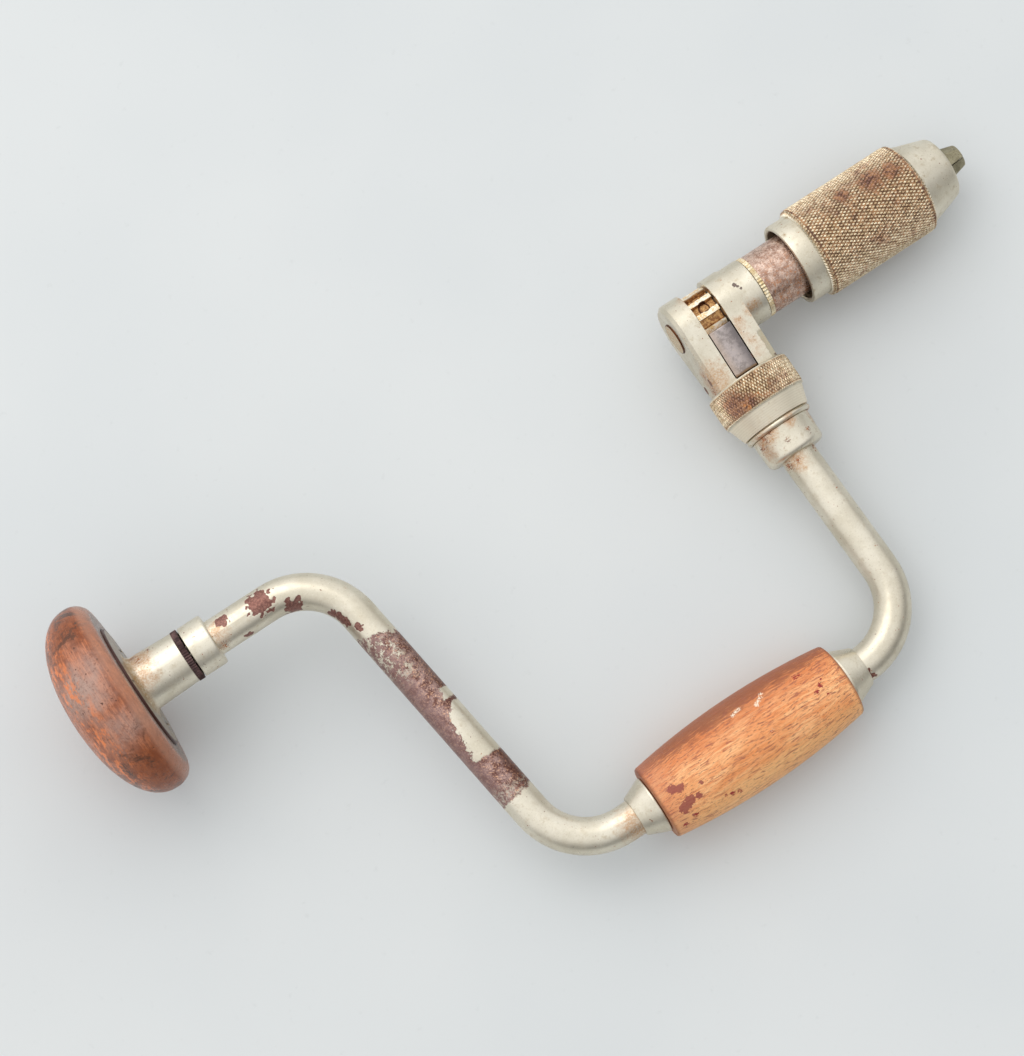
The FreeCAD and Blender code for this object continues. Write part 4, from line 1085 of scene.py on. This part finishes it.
pawl = {
    "dark": colour(150, 140, 136),
    "light": colour(184, 172, 168),
    "specks": colour(196, 182, 170),
    "chuckSideShade": colour(98, 92, 92),
    "headSideTintAndLight": colour(196, 174, 154),
    "bevel": colour(134, 104, 72),
    "metallic": 0.85,
}


def pawlSteel():
    # grey steel with painted shade on the chuck's side and painted light with a brownish tint on the head's
    # side, with a brown bevel at the ring's end
    material, shader, at = startFinish("pawlSteel")
    x, y = axisParts(at)[:2]
    cloud = noise(at, 0.4, 5, 0.7)
    fine = noise(at, 1.6, 4, 0.7)
    base = mixed(between(cloud, 0.4, 0.6), pawl["dark"], pawl["light"])
    base = painted(base, between(fine, 0.56, 0.66, 0, 0.6), pawl["specks"])
    # painted shade on the chuck's side, towards the ear; painted light with a brownish tint on the head's
    # side
    base = painted(base, between(x, armX - 0.5, armX + 4.2, 0, 0.75), pawl["chuckSideShade"])
    base = painted(base, between(x, armX - 1.0, armX - 4.4, 0, 0.55), pawl["headSideTintAndLight"])
    bevel = between(plus(y, times(cloud, 0.8)), -22.2, -22.9)
    base = painted(base, bevel, pawl["bevel"], 0.85)
    finishMetal(shader, base, between(fine, 0.3, 0.7, 0.3, 0.44), pawl["metallic"], fine)
    return material


wheel = {
    "valleyDark": colour(146, 102, 66),
    "valleyLight": colour(212, 168, 112),
    "landLight": colour(250, 242, 222),
    "landDark": colour(232, 196, 140),
    "pinRing": colour(80, 46, 30),
    "metallic": 0.85,
}


def pinWay():  # which way the pin through the ratchet wheel points, in the brace's frame
    total = Vector()
    for vertex in frame["nodes"]["wheel_pin"].data.vertices:
        place = inBrace @ vertex.co - Vector((armX, 0, 0))
        if place.z > 0:
            total += place
    return total.normalized()


def wheelMetal():
    # bright lands and brown valleys, told apart by distance from the spine, and a dark ring round the pin
    material, shader, at = startFinish("wheelMetal")
    z = axisParts(at)[2]
    fine = noise(at, 0.9, 4, 0.65)
    land = between(plus(fromAxis(at), times(fine, 0.5)), 10.1, 10.45)
    valleys = mixed(between(fine, 0.4, 0.6), wheel["valleyDark"], wheel["valleyLight"])
    lands = mixed(between(fine, 0.42, 0.64), wheel["landLight"], wheel["landDark"])
    base = mixed(land, valleys, lands)
    fromMiddle = vectorMaths("SUBTRACT", at, (armX, 0, 0))
    fromPin = vectorMaths("LENGTH", vectorMaths("CROSS_PRODUCT", fromMiddle, pinWay()))
    base = painted(base, times(band(fromPin, 1.5, 2.1, 0.12), between(z, 0.0, 2.0)), wheel["pinRing"])
    finishMetal(shader, base, mixedValue(land, 0.5, 0.28), wheel["metallic"], fine)
    return material


def dress(nodes, material):
    for name in nodes:
        mesh = frame["nodes"][name].data
        mesh.materials.clear()
        mesh.materials.append(material)


def dressFrame():
    dress(["crank_frame"], rodNickel())
    dress(["head_quill"], quillNickel())
    collars = ["head_collar", "handle_ferrule_head_end", "handle_ferrule_chuck_end"]
    dress(collars, nickel("nickel", nickelFinish["collarStaining"]))
    dress(["ratchet_box"], boxNickel())
    dress(["head_bearing_cap"], mottledSteel("darkSteel"))
    dress(["chuck_spindle"], spindleMetal())
    dress(["wheel_pin"], mottledSteel("pinSteel"))
    dress(["pawl_pins", "box_pin"], mottledSteel("brownSteel"))
    dress(["ratchet_wheel"], wheelMetal())
    dress(["pawl_upper", "pawl_lower"], pawlSteel())
    dress(["jaw_far_side", "jaw_wrist_side", "jaw_cone_ring"], mottledSteel("jawSteel"))
    dress(["thrust_washer"], mottledSteel("brassWasher"))
    wire = nickel("wireNickel", nickelFinish["wireStaining"], box["stainPlaces"], box["rustPlaces"])
    dress(["cam_ring_retainer"], wire)
    dress(["head_bearing_balls", "head_screws", "head_washer", "head_nut", "detent_ball", "detent_spring",
           "pawl_spring", "jaw_spring"], mottledSteel("plainSteel"))
    print("CAD pieces dressed")


# Floor and light

studio = {
    "floorSize": 24,
    "floorLight": colour(213, 215, 214),
    "floorDark": colour(207, 210, 210),
    "floorSpecks": colour(193, 195, 194),
    "floorRoughness": 0.6,
    "floorSpecular": 0.25,
    "lightWay": (-0.14, 0.69, 1.0),
    "keyPower": 3.65,
    "keyReach": 1.3,
    "keySize": 1.0,
    "keyColour": (1, 0.99, 0.97),
    "worldDim": 0.31,
    "worldBright": 1.16,
    "worldColour": (0.97, 0.985, 1.0, 1),
}


def makeFloor():
    bpy.ops.mesh.primitive_plane_add(size=studio["floorSize"], location=(0, 0, 0))
    floor = bpy.context.object
    floor.name = "floor"
    material, shader = startMaterial("bench")
    where = node("TexCoord", output="Object")
    broad = noise(where, 6, 3, 0.5)
    fine = noise(where, 260, 3, 0.6)
    base = mixed(between(broad, 0.3, 0.7), studio["floorLight"], studio["floorDark"])
    base = painted(base, between(fine, 0.62, 0.8, 0, 0.3), studio["floorSpecks"])
    join(base, shader.inputs["Base Color"])
    shader.inputs["Roughness"].default_value = studio["floorRoughness"]
    shader.inputs["Specular IOR Level"].default_value = studio["floorSpecular"]
    floor.data.materials.append(material)


def makeLight():  # one square lamp, and a world that is brighter on its side
    way = Vector(studio["lightWay"]).normalized()
    place = way * studio["keyReach"]
    light = bpy.data.lights.new("keyLight", "AREA")
    light.shape = "SQUARE"
    light.size = studio["keySize"]
    light.energy = studio["keyPower"]
    light.color = studio["keyColour"]
    lamp = bpy.data.objects.new("keyLight", light)
    lamp.location = place
    lamp.rotation_euler = (Vector((0, 0, 0.01)) - place).to_track_quat("-Z", "Y").to_euler()
    bpy.context.scene.collection.objects.link(lamp)
    world = bpy.data.worlds.new("studio")
    bpy.context.scene.world = world
    world.use_nodes = True
    fillTree(world.node_tree)
    background = tree.nodes["Background"]
    background.inputs["Color"].default_value = studio["worldColour"]
    towards = vectorMaths("DOT_PRODUCT", node("TexCoord", output="Generated"), way)
    strength = between(towards, -0.35, 0.62, studio["worldDim"], studio["worldBright"])
    join(strength, background.inputs["Strength"])
    print("studio done")


makePad()
makeHandle()
makeShell()
makeCamRing()
dressFrame()
makeFloor()
makeLight()

print("scene done")
